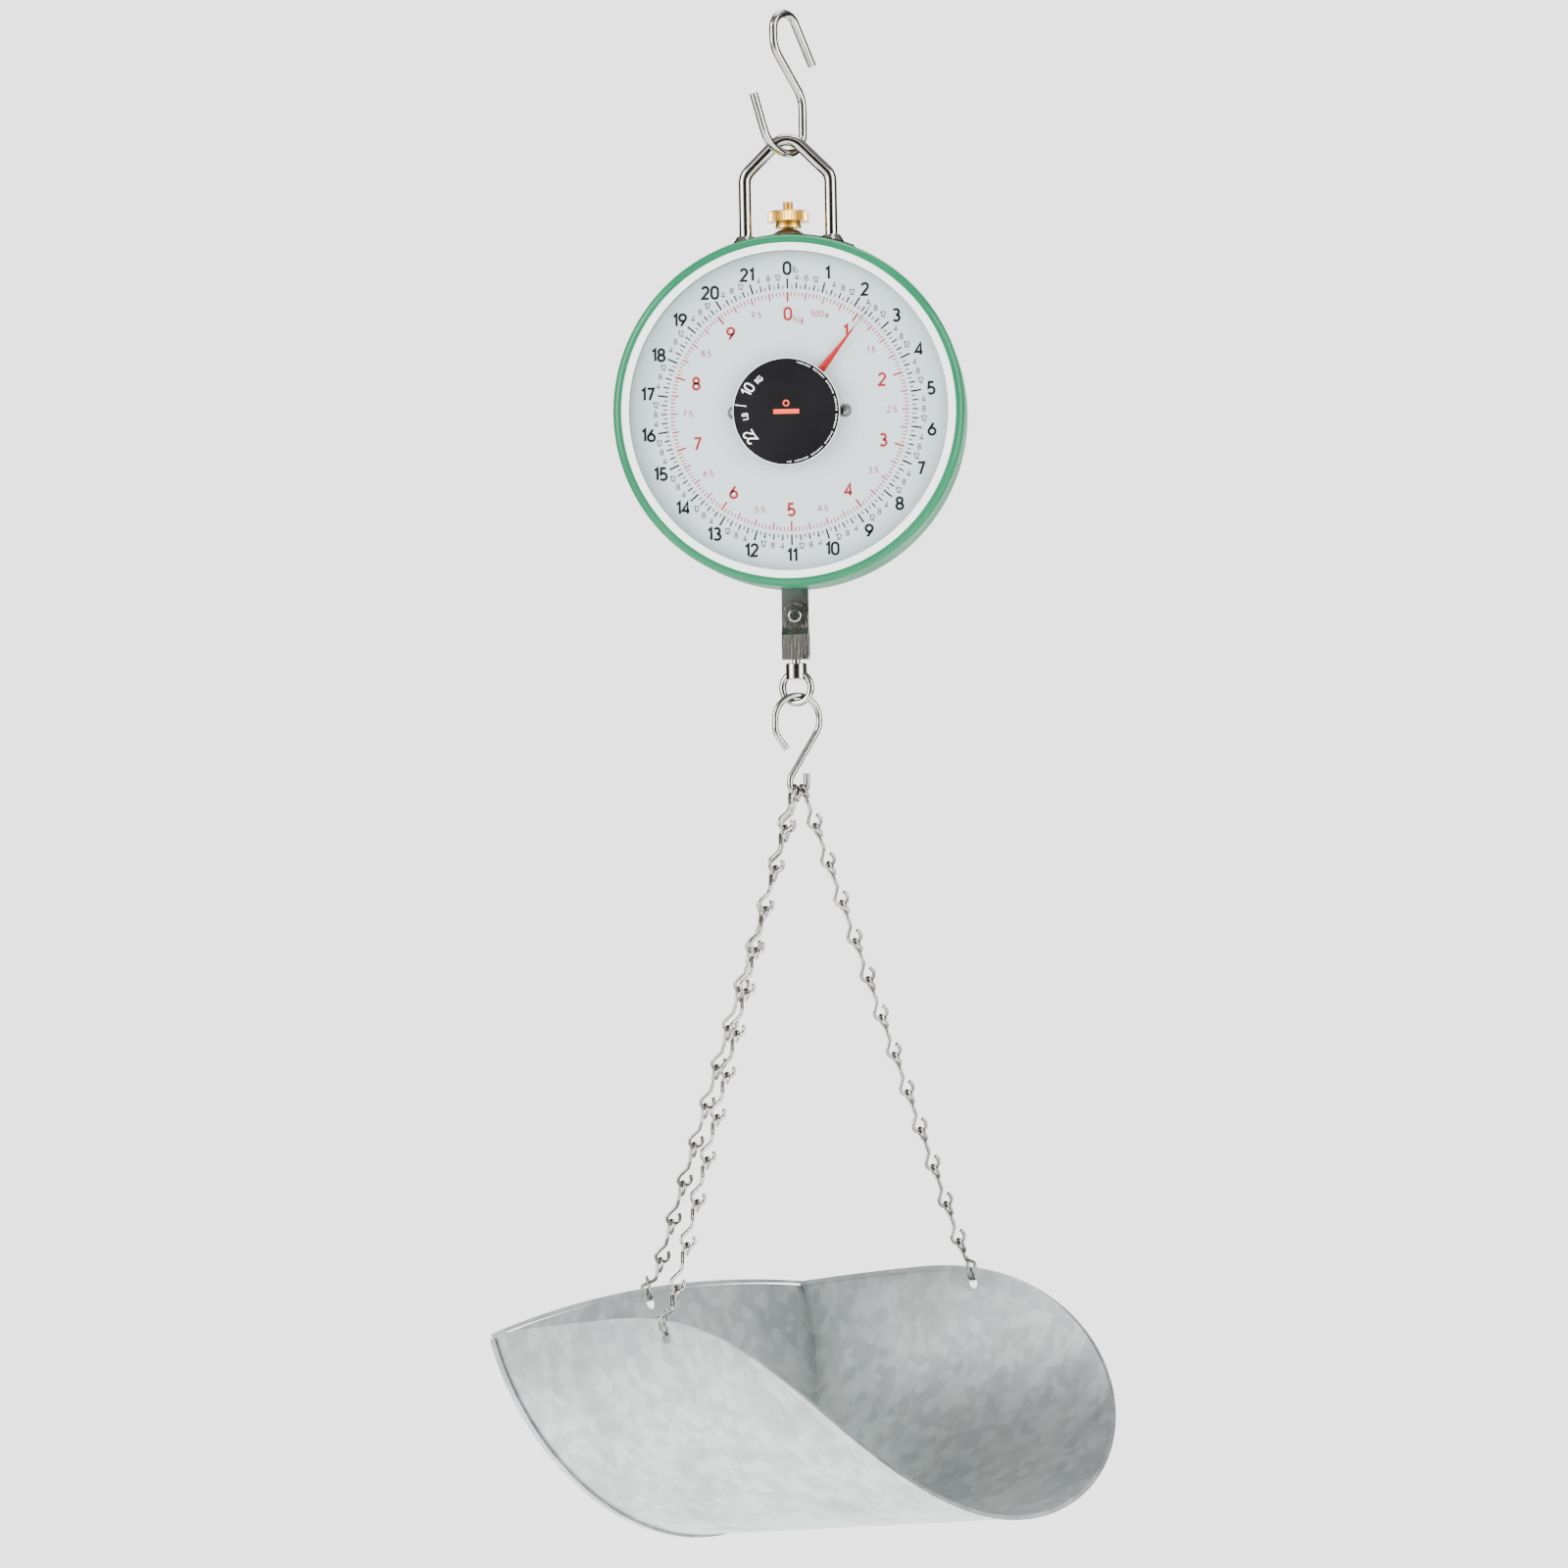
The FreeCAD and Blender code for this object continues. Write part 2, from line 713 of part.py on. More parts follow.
def rack_foot_x():
    back = pitch_radius + dedendum * gear_module + rack_back
    return back + seat_gap + rack_screw_head / 2


def drawbar():
    bar = bar_section(0, screw_z - stirrup_tab_radius, lower_yoke_z - sheet)
    hole = cylinder(stirrup_screw / 2, Vector(0, -beyond, screw_z), Vector(0, beyond, screw_z))
    return bar.cut(hole)


def rack():
    pitch = math.pi * gear_module
    line = pitch_radius
    crest = line - addendum * gear_module
    root = line + dedendum * gear_module
    back = root + rack_back
    slope = math.tan(math.radians(pressure_angle))
    half_tooth = pitch / 4 - gear_backlash / 2
    top = dial_z + rack_rise
    foot = lower_yoke_z + rack_foot_height
    half = rack_width / 2
    bar = block(root, back, -half, half, lower_yoke_z, top)
    count = int((top - foot - pitch) / pitch)
    first = dial_z - pitch * int((dial_z - foot) / pitch - 0.5)
    for k in range(count):
        z = first + k * pitch
        if z + pitch / 2 > top:
            break
        outer = half_tooth - slope * (line - crest)
        inner = half_tooth + slope * (root - line)
        points = [Vector(crest, -half, z - outer), Vector(crest, -half, z + outer),
                  Vector(root + tooth_sink, -half, z + inner), Vector(root + tooth_sink, -half, z - inner)]
        tooth = Part.Face(Part.makePolygon(points + [points[0]])).extrude(Vector(0, rack_width, 0))
        bar = bar.fuse(tooth)
    foot_end = root + rack_foot
    bar = bar.fuse(block(root, foot_end, -rack_width, rack_width, lower_yoke_z, foot))
    x = rack_foot_x()
    hole = cylinder(rack_screw / 2, Vector(x, 0, lower_yoke_z - 1), Vector(x, 0, foot + 1))
    return bar.removeSplitter().cut(hole)


def rack_screw_solid():
    x = rack_foot_x()
    foot = lower_yoke_z + rack_foot_height
    shank = cylinder(rack_screw / 2, Vector(x, 0, lower_yoke_z - yoke_height), Vector(x, 0, foot))
    head = cylinder(rack_screw_head / 2, Vector(x, 0, foot), Vector(x, 0, foot + rack_screw_rise))
    return shank.fuse(head)


def pinion():
    tip = pitch_radius + addendum * gear_module
    root = pitch_radius - dedendum * gear_module
    slope = math.tan(math.radians(pressure_angle))
    half_pitch = math.pi * gear_module / 4 - gear_backlash / 2
    half_tip = half_pitch - slope * (tip - pitch_radius) * tip_relief
    half_root = half_pitch + slope * (pitch_radius - root) * root_relief
    y0 = -pinion_width / 2
    points = []
    for k in range(pinion_teeth):
        middle = 2 * math.pi * (k + 0.5) / pinion_teeth
        for reach, half in ((root, -half_root), (pitch_radius, -half_pitch), (tip, -half_tip),
                            (tip, half_tip), (pitch_radius, half_pitch), (root, half_root)):
            angle = middle + half / reach
            points.append(Vector(reach * math.cos(angle), y0, dial_z + reach * math.sin(angle)))
    wheel = Part.Face(Part.makePolygon(points + [points[0]])).extrude(Vector(0, pinion_width, 0))
    return wheel.cut(disc(shaft / 2, y0 - 1, -y0 + 1))


def pinion_shaft():
    front = pointer_y() - hub_length / 2
    rear = bridge_back - sheet + bush_length
    return disc(shaft / 2, front, rear)


# ---- pointer ----
def pointer_y():
    return lens_back + pointer_gap


def pointer():
    y = pointer_y()
    root = pointer_root / 2
    needle = pointer_needle / 2
    outline = [
        Vector(-root, y, dial_z - pointer_tail), Vector(root, y, dial_z - pointer_tail),
        Vector(root, y, dial_z), Vector(needle, y, dial_z + pointer_blade),
        Vector(needle, y, dial_z + pointer_reach), Vector(-needle, y, dial_z + pointer_reach),
        Vector(-needle, y, dial_z + pointer_blade), Vector(-root, y, dial_z),
    ]
    blade = Part.Face(Part.makePolygon(outline + [outline[0]])).extrude(Vector(0, pointer_thickness, 0))
    blade = blade.cut(disc(hub_radius, y - 5, y + 5))
    solids = sorted(blade.Solids, key=lambda solid: -solid.Volume)
    arm = group(solids)
    return turn(arm, pointer_reading, Vector(0, 1, 0), Vector(0, 0, dial_z))


def pointer_hub():
    y = pointer_y()
    front = y - hub_length / 2
    return disc(hub_radius, front, front + hub_length, shaft / 2)


# ---- stirrup, swivel and ring ----
def stirrup_leg(side):
    near = bar_thickness / 2
    half = stirrup_width / 2
    top = screw_z + stirrup_tab_radius

    def y(depth):
        return side * depth

    inner = [(near, top), (near, screw_z - joggle_top), (near + joggle_out, screw_z - joggle_bottom),
             (near + joggle_out, stirrup_bottom)]
    outer = [(near + joggle_out + stirrup_sheet, stirrup_bottom),
             (near + joggle_out + stirrup_sheet, screw_z - joggle_bottom + 0.8),
             (near + stirrup_sheet, screw_z - joggle_top + 0.8), (near + stirrup_sheet, top)]
    points = [Vector(-half, y(depth), z) for depth, z in inner + outer]
    leg = Part.Face(Part.makePolygon(points + [points[0]])).extrude(Vector(stirrup_width, 0, 0))
    tab = cylinder(stirrup_tab_radius, Vector(0, -20, screw_z), Vector(0, 20, screw_z))
    lower = block(-half, half, -20, 20, stirrup_bottom - 1, screw_z)
    return leg.common(tab.fuse(lower))


def stirrup():
    reach = bar_thickness / 2 + joggle_out + stirrup_sheet
    half = stirrup_width / 2
    floor = block(-half, half, -reach, reach, stirrup_bottom, stirrup_bottom + stirrup_sheet)
    body = stirrup_leg(-1).fuse(stirrup_leg(1)).fuse(floor).removeSplitter()
    body = body.cut(cylinder(stirrup_screw / 2, Vector(0, -20, screw_z), Vector(0, 20, screw_z)))
    neck_hole = cylinder(swivel_neck / 2 + running_gap, Vector(0, 0, stirrup_bottom - 5),
                         Vector(0, 0, stirrup_bottom + beyond))
    return body.cut(neck_hole)


def stirrup_stack():
    near = bar_thickness / 2 + stirrup_sheet
    washer = disc(stirrup_washer / 2, -near - stirrup_washer_thickness, -near,
                  stirrup_screw / 2, z=screw_z)
    seat = -near - stirrup_washer_thickness
    end = near + 6
    shank = disc(stirrup_screw / 2, seat, end, z=screw_z)
    head = disc(stirrup_screw_head / 2, seat - stirrup_screw_rise, seat, z=screw_z)
    edge = [e for e in head.Edges if abs(e.BoundBox.YMax - (seat - stirrup_screw_rise)) < 1e-3]
    head = head.makeFillet(stirrup_screw_rise * 0.4, edge[:1])
    arm = block(-0.5, 0.5, seat - beyond, seat - stirrup_screw_rise + 1.2, screw_z - 2.1, screw_z + 2.1)
    cross = arm.fuse(turn(arm, 90, Vector(0, 1, 0), Vector(0, 0, screw_z)))
    screw = head.cut(cross).fuse(shank)
    corner = stirrup_screw_head / 2 / math.cos(math.pi / 6)
    points = [Vector(corner * math.cos(k * math.pi / 3), near, screw_z + corner * math.sin(k * math.pi / 3))
              for k in range(6)]
    nut = Part.Face(Part.makePolygon(points + [points[0]])).extrude(Vector(0, 4, 0))
    nut = nut.cut(disc(stirrup_screw / 2, near - 1, near + beyond, z=screw_z))
    return washer, screw, nut


def ring_circle(wire):
    centre = Vector(0, 0, ring_top - ring_radius)
    ring = Part.makeTorus(ring_radius, wire / 2, centre, Vector(0, 1, 0))
    return turn(ring, ring_twist, Vector(0, 0, 1))


def swivel_head():
    body = cylinder(swivel_head_radius, Vector(0, 0, head_bottom), Vector(0, 0, head_top))
    edges = [e for e in body.Edges if abs(e.BoundBox.ZMax - e.BoundBox.ZMin) < 1e-6]
    body = body.makeFillet(0.7, edges)
    neck_top = stirrup_bottom + stirrup_sheet + 0.3
    neck = cylinder(swivel_neck / 2, Vector(0, 0, head_top - 0.5), Vector(0, 0, neck_top + 0.5))
    button = cylinder(swivel_button, Vector(0, 0, neck_top), Vector(0, 0, neck_top + swivel_button_height))
    return body.fuse(neck).fuse(button).cut(ring_circle(ring_wire + 2 * ring_hole_play))


def low_hook():
    twist = math.radians(low_hook_twist)

    def at(u, drop):
        return Vector(u * math.cos(twist), u * math.sin(twist), low_hook_crown - drop)

    big = low_hook_top
    small = low_hook_seat
    points = [
        at(-low_hook_tip_side, low_hook_tip_drop), at(-big, low_hook_tip_corner), at(-big, 0), at(big, 0),
        at(big, low_hook_shank_top), at(-small, low_hook_shank_end), at(-small, low_hook_reach),
        at(small, low_hook_reach), at(small, low_hook_reach - low_hook_leg),
    ]
    return bent_wire(points, [big * 0.8, big, big, big * 0.8, small, small, small], low_hook_wire)


# ---- pan ----
def wall_angle(along):
    """Half angle of the pan's wall at a place along it, in radians: full over the middle, then
    falling to nothing at the front lip along a rounded curve."""
    full = math.radians(pan_wrap)
    if along >= pan_widest:
        share = min(1.0, (along - pan_widest) / (pan_front - pan_widest))
        return full * (1 - share ** pan_lip_power) ** (1 / pan_lip_power)
    back = (pan_widest - along) / (pan_widest + pan_back_foot + pan_back_lean)
    return full - math.radians(pan_back_narrowing) * back ** 2


def rim_points(inset):
    """The wall's rim as (along, height) points, drawn in from the edge by inset along the sheet."""
    front = 26
    back = -pan_back_foot - 2 * pan_back_lean
    stations = [back, back * 0.6, back * 0.25]
    stations += [pan_widest + (pan_front - pan_widest) * math.sin(math.pi / 2 * k / front)
                 for k in range(front)]
    points = []
    for place in stations:
        step = 0.05
        rise = (wall_angle(place + step) - wall_angle(place - step)) * pan_radius / (2 * step)
        size = math.hypot(1, rise)
        along = place + inset * rise / size
        angle = wall_angle(place) - inset / size / pan_radius
        if angle > 0:
            points.append((along, pan_radius * (1 - math.cos(angle))))
    return points, pan_front - inset


def below_rim(inset):
    """Everything under the rim's line, as a solid that runs right across the pan."""
    points, nose = rim_points(inset)
    wide = 2 * pan_radius
    sideways = [Vector(along, -wide, height) for along, height in points]
    sideways.append(Vector(nose, -wide, -2 * seam_proud))
    curve = Part.BSplineCurve()
    curve.interpolate(sideways)
    low = -3 * seam_proud - 5
    first = sideways[0]
    floor = [sideways[-1], Vector(nose, -wide, low), Vector(first.x, -wide, low), first]
    edges = [curve.toShape()]
    for one, two in zip(floor, floor[1:]):
        edges.append(Part.LineSegment(one, two).toShape())
    return Part.Face(Part.Wire(edges)).extrude(Vector(0, 2 * wide, 0))


def tube_wall(inner, outer):
    length = 2 * (pan_front + pan_back_foot + pan_back_lean)
    start = Vector(-length / 2, 0, pan_radius)
    end = Vector(length / 2, 0, pan_radius)
    return cylinder(outer, start, end).cut(cylinder(inner, start, end))


def back_lean():
    """Slope of the back plate: how far it goes back for each millimetre up."""
    corner = pan_radius * (1 - math.cos(wall_angle(-pan_back_foot - pan_back_lean)))
    return pan_back_lean / corner


def back_slab(front, back, low=-20.0, high=220.0):
    """A leaning slab the width of the pan; front and back are measured square to the plate."""
    lean = back_lean()
    stretch = math.hypot(1, lean)
    wide = 2 * pan_radius
    points = [Vector(-pan_back_foot - lean * z - depth * stretch, -wide, z)
              for depth, z in ((front, low), (front, high), (back, high), (back, low))]
    return Part.Face(Part.makePolygon(points + [points[0]])).extrude(Vector(0, 2 * wide, 0))


def ahead_of_back():
    return back_slab(-3 * pan_front, 0)


def back_outline(inset, radius):
    """The back plate seen from behind: the wall's circle closed by an arched top, as a long prism."""
    angle = wall_angle(-pan_back_foot - pan_back_lean)
    height = pan_radius * (1 - math.cos(angle)) - inset
    half = math.sqrt(radius ** 2 - (height - pan_radius) ** 2)
    x = -3 * pan_front
    left = Vector(x, -half, height)
    right = Vector(x, half, height)
    bottom = Vector(x, 0, pan_radius - radius)
    arch = Part.Arc(right, Vector(x, 0, height + pan_back_arch), left).toShape()
    circle = Part.Arc(left, bottom, right).toShape()
    return Part.Face(Part.Wire([arch, circle])).extrude(Vector(6 * pan_front, 0, 0))


def pan_holes():
    """Each chain hole as (centre, direction up the sheet, outward direction), near, back, far."""
    middle = pan_radius + pan_sheet / 2
    angle = wall_angle(pan_hole_forward) - pan_hole_inset / pan_radius
    holes = []
    for side in (-1, 1):
        centre = Vector(pan_hole_forward, side * middle * math.sin(angle),
                        pan_radius - middle * math.cos(angle))
        holes.append((centre, Vector(0, side * math.cos(angle), math.sin(angle)),
                      Vector(0, side * math.sin(angle), -math.cos(angle))))
    lean = back_lean()
    stretch = math.hypot(1, lean)
    up = Vector(-lean / stretch, 0, 1 / stretch)
    out = Vector(-1 / stretch, 0, -lean / stretch)
    angle = wall_angle(-pan_back_foot - pan_back_lean)
    top = pan_radius * (1 - math.cos(angle)) + pan_back_arch
    crest = Vector(-pan_back_foot - lean * top, 0, top)
    back = crest - up * pan_hole_inset + out * (pan_sheet / 2)
    return [holes[0], (back, up, out), holes[1]]


def pan_pieces():
    outer = pan_radius + pan_sheet
    drills = [cylinder(pan_hole / 2, centre - out * 6, centre + out * 6)
              for centre, up, out in pan_holes()]
    trough = tube_wall(pan_radius, outer).common(below_rim(rim_bead)).common(ahead_of_back())
    back_plate = back_slab(0, pan_sheet).common(back_outline(rim_bead, outer))
    for drill in drills:
        trough = trough.cut(drill)
        back_plate = back_plate.cut(drill)
    bead_wall = tube_wall(pan_radius - rim_bead_proud, outer + rim_bead_proud)
    bead = bead_wall.common(below_rim(0)).cut(below_rim(rim_bead)).common(ahead_of_back())
    seam = tube_wall(outer, outer + seam_proud).common(back_slab(-seam_width / 2, seam_width / 2))
    seam = seam.common(below_rim(rim_bead))
    back_bead = back_slab(-rim_bead_proud, pan_sheet + rim_bead_proud).common(back_outline(0, outer))
    back_bead = back_bead.cut(back_outline(rim_bead, outer + beyond)).cut(bead).cut(seam)
    bead = max(bead.Solids, key=lambda solid: solid.Volume)
    back_bead = max(back_bead.Solids, key=lambda solid: solid.Volume)
    return {"pan_trough": trough, "pan_back_plate": back_plate, "pan_rim_bead": bead,
            "pan_back_bead": back_bead, "pan_seam": seam}


def hang_matrix():
    """Turns the pan's own frame into the scale's: roll, then pitch, then heading."""
    spin = FreeCAD.Rotation(Vector(0, 0, 1), pan_heading)
    tip = FreeCAD.Rotation(Vector(0, 1, 0), pan_pitch)
    roll = FreeCAD.Rotation(Vector(1, 0, 0), pan_roll)
    return spin.multiply(tip).multiply(roll)


def place_pan(pieces):
    """Hang the pan so that its centre of mass lies under the lower hook's seat."""
    turned = hang_matrix()
    volume = sum(piece.Volume for piece in pieces.values())
    centre = Vector(0, 0, 0)
    for piece in pieces.values():
        for solid in piece.Solids:
            centre += solid.CenterOfMass * (solid.Volume / volume)
    sideways = turned.multVec(centre)
    offset = Vector(-sideways.x, -sideways.y, low_hook_seat_z - pan_drop)
    placement = FreeCAD.Placement(offset, turned)
    placed = {}
    for name, piece in pieces.items():
        moved = piece.copy()
        moved.transformShape(placement.toMatrix())
        placed[name] = moved
    return placed, placement


# ---- chains ----
def loop_points(waist, toward, side, half_length):
    """One teardrop loop of a link: out from the waist, round the end and back to an open tip."""
    centre = half_length - link_half_width
    slant = math.asin(link_half_width / (centre - link_waist))
    corner = link_half_width * math.tan(math.pi / 4 + slant / 2)
    tip_side = chain_wire + link_end_gap
    tip = link_waist + tip_side / math.tan(slant)
    return [waist + toward * link_waist, waist + toward * half_length + side * corner,
            waist + toward * half_length - side * corner, waist + toward * tip - side * tip_side]


def chain(high_point, hole, side):
    """Links from a place in the hook's seat to one hole; the last link's lower end is an open bend."""
    centre, up, out = hole
    low_point = centre + up * (pan_hole / 2 - chain_wire / 2 - link_play)
    rise = (high_point - low_point).normalize()
    length = (high_point - low_point).Length
    count = round(length / chain_pitch)
    pitch = (length - chain_wire - link_play) / count
    half_length = (pitch + chain_wire + link_play) / 2
    across = (side - rise * side.dot(rise)).normalize()
    second = rise.cross(across)
    bends = [link_bend, link_half_width, link_half_width]
    links = []
    for k in range(count - 1):
        waist = high_point - rise * (half_length + k * pitch)
        upper = loop_points(waist, rise, across, half_length)
        lower = loop_points(waist, rise * -1, second, half_length)
        points = upper[::-1] + lower
        links.append(bent_wire(points, bends[::-1] + bends, chain_wire))
    waist = low_point + rise * half_length
    upper = loop_points(waist, rise, across, half_length)
    over = pan_hole_inset - pan_hole / 2 + tie_over
    tie = [waist, low_point + up * over + out * tie_radius, low_point + out * tie_radius,
           low_point - out * tie_radius, low_point + up * tie_leg - out * tie_radius]
    points = upper[::-1] + tie
    radii = bends[::-1] + [link_bend, link_bend, tie_radius, tie_radius]
    links.append(bent_wire(points, radii, chain_wire))
    return group(links)


def chains(placement):
    twist = math.radians(low_hook_twist)
    along = Vector(math.cos(twist), math.sin(twist), 0)
    side = Vector(-math.sin(twist), math.cos(twist), 0)
    seat_centre = Vector(0, 0, low_hook_seat_z + low_hook_seat)
    stand_off = (low_hook_wire + chain_wire) / 2 + link_play
    step = 2 * math.asin((chain_wire + nest_gap) / 2 / (low_hook_seat - stand_off))
    made = {}
    for name, place, (centre, up, out) in zip(("near", "back", "far"), (-1, 0, 1), pan_holes()):
        angle = place * step
        hole = (placement.multVec(centre), placement.Rotation.multVec(up), placement.Rotation.multVec(out))
        on_hook = seat_centre + (along * math.sin(angle) - Vector(0, 0, math.cos(angle))) * low_hook_seat
        tangent = along * math.cos(angle) + Vector(0, 0, math.sin(angle))
        pull = on_hook - hole[0]
        pull = (pull - tangent * pull.dot(tangent)).normalize()
        high_point = on_hook + pull * stand_off
        made["chain_" + name] = chain(high_point, hole, side)
    return made


def main():
    os.makedirs("parts", exist_ok=True)
    save("top_hook", top_hook())
    save("bail", bail())
    save("bail_collars", bail_collars())
    save("bail_nuts", bail_nuts())
    save("bail_spacers", bail_spacers())
    save("top_plate", top_plate())
    save("drum_shell", drum_shell())
    save("rear_cover", rear_cover())
    save("rear_posts", rear_posts())
    save("rear_cover_screws", rear_cover_screws())
    save("lens", lens())
    save("lens_ring", lens_ring())
    save("badge_disc", badge_disc())
    save("dial_plate", dial_plate())
    save("dial_screws", dial_screws())
    save("dial_posts", dial_posts())
    save("chassis", chassis())
    save("bridge", bridge())
    front_bush, rear_bush = bushes()
    save("front_bush", front_bush)
    save("rear_bush", rear_bush)
    save("dome_washer", dome_washer())
    save("adjuster_nut", adjuster_nut())
    save("adjuster_rod", adjuster_rod())
    save("upper_yoke", upper_yoke())
    left_spring, right_spring = springs()
    save("left_spring", left_spring)
    save("right_spring", right_spring)
    save("lower_yoke", lower_yoke())
    save("drawbar", drawbar())
    save("rack", rack())
    save("rack_screw", rack_screw_solid())
    save("pinion", pinion())
    save("pinion_shaft", pinion_shaft())
    save("pointer", pointer())
    save("pointer_hub", pointer_hub())
    save("stirrup", stirrup())
    washer, screw, nut = stirrup_stack()
    save("stirrup_washer", washer)
    save("stirrup_screw", screw)
    save("stirrup_nut", nut)
    save("swivel_head", swivel_head())
    save("swivel_ring", ring_circle(ring_wire))
    save("lower_hook", low_hook())
    pieces, placement = place_pan(pan_pieces())
    for name, shape in pieces.items():
        save(name, shape)
    for name, shape in chains(placement).items():
        save(name, shape)


main()
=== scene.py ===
import bpy
import json
import math
import numpy as np
from mathutils import Matrix, Vector


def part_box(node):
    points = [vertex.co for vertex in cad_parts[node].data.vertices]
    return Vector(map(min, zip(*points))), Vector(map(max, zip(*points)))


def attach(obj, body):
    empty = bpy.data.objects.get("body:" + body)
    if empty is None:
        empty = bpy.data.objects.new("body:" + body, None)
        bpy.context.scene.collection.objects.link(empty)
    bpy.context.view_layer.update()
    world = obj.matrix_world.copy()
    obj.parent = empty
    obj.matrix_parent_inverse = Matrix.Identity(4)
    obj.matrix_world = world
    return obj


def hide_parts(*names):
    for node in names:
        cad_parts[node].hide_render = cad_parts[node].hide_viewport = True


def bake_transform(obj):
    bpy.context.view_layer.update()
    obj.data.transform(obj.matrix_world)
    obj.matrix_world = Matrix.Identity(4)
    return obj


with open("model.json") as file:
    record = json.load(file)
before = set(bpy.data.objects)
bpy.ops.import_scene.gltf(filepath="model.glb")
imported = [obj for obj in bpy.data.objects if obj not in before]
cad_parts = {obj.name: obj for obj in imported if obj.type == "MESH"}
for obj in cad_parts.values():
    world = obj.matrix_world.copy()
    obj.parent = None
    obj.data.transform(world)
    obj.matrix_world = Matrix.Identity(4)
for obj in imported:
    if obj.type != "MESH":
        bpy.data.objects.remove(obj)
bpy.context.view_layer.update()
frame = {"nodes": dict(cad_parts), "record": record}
mm = 0.001
nodes = frame["nodes"]
print("frame loaded:", len(nodes), "nodes")

dialLow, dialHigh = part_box("dial_plate")
dialX = (dialLow.x + dialHigh.x) / 2
dialZ = (dialLow.z + dialHigh.z) / 2
dialFace = dialLow.y
badgeLow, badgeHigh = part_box("badge_disc")
badgeX = (badgeLow.x + badgeHigh.x) / 2
badgeZ = (badgeLow.z + badgeHigh.z) / 2
badgeFace = badgeLow.y
badgeRadius = (badgeHigh.x - badgeLow.x) / 2


# meshes
def meshPiece(name, points, faces, smooth=False):
    mesh = bpy.data.meshes.new(name)
    mesh.from_pydata([tuple(p) for p in points], [], [tuple(f) for f in faces])
    mesh.validate()
    mesh.update()
    mesh.shade_smooth() if smooth else mesh.shade_flat()
    piece = bpy.data.objects.new(name, mesh)
    bpy.context.scene.collection.objects.link(piece)
    return piece


def gridPiece(name, rows, closedAround=True, caps=True, smooth=True):
    # rows is a (rows, columns, 3) array; neighbouring points are joined into quads, the columns
    # close on themselves, and each end row is capped
    count, around = rows.shape[:2]
    points = rows.reshape(-1, 3)
    faces = []
    columns = around if closedAround else around - 1
    for i in range(count - 1):
        for j in range(columns):
            k = (j + 1) % around
            faces.append((i * around + j, i * around + k, (i + 1) * around + k, (i + 1) * around + j))
    if caps:
        faces.append(tuple(range(around - 1, -1, -1)))
        faces.append(tuple((count - 1) * around + j for j in range(around)))
    return meshPiece(name, points, faces, smooth)


def outward(piece):
    # turns every face so that its normal points out of the closed mesh
    import bmesh
    work = bmesh.new()
    work.from_mesh(piece.data)
    bmesh.ops.recalc_face_normals(work, faces=work.faces)
    work.to_mesh(piece.data)
    work.free()
    return piece


# stroke lettering
def arc(cx, cy, rx, ry, start, end, steps=14):
    return [(cx + rx * math.cos(math.radians(start + (end - start) * k / steps)),
             cy + ry * math.sin(math.radians(start + (end - start) * k / steps)))
            for k in range(steps + 1)]


def turned(lines, width):
    return [[(width - x, 1 - y) for x, y in line] for line in lines]


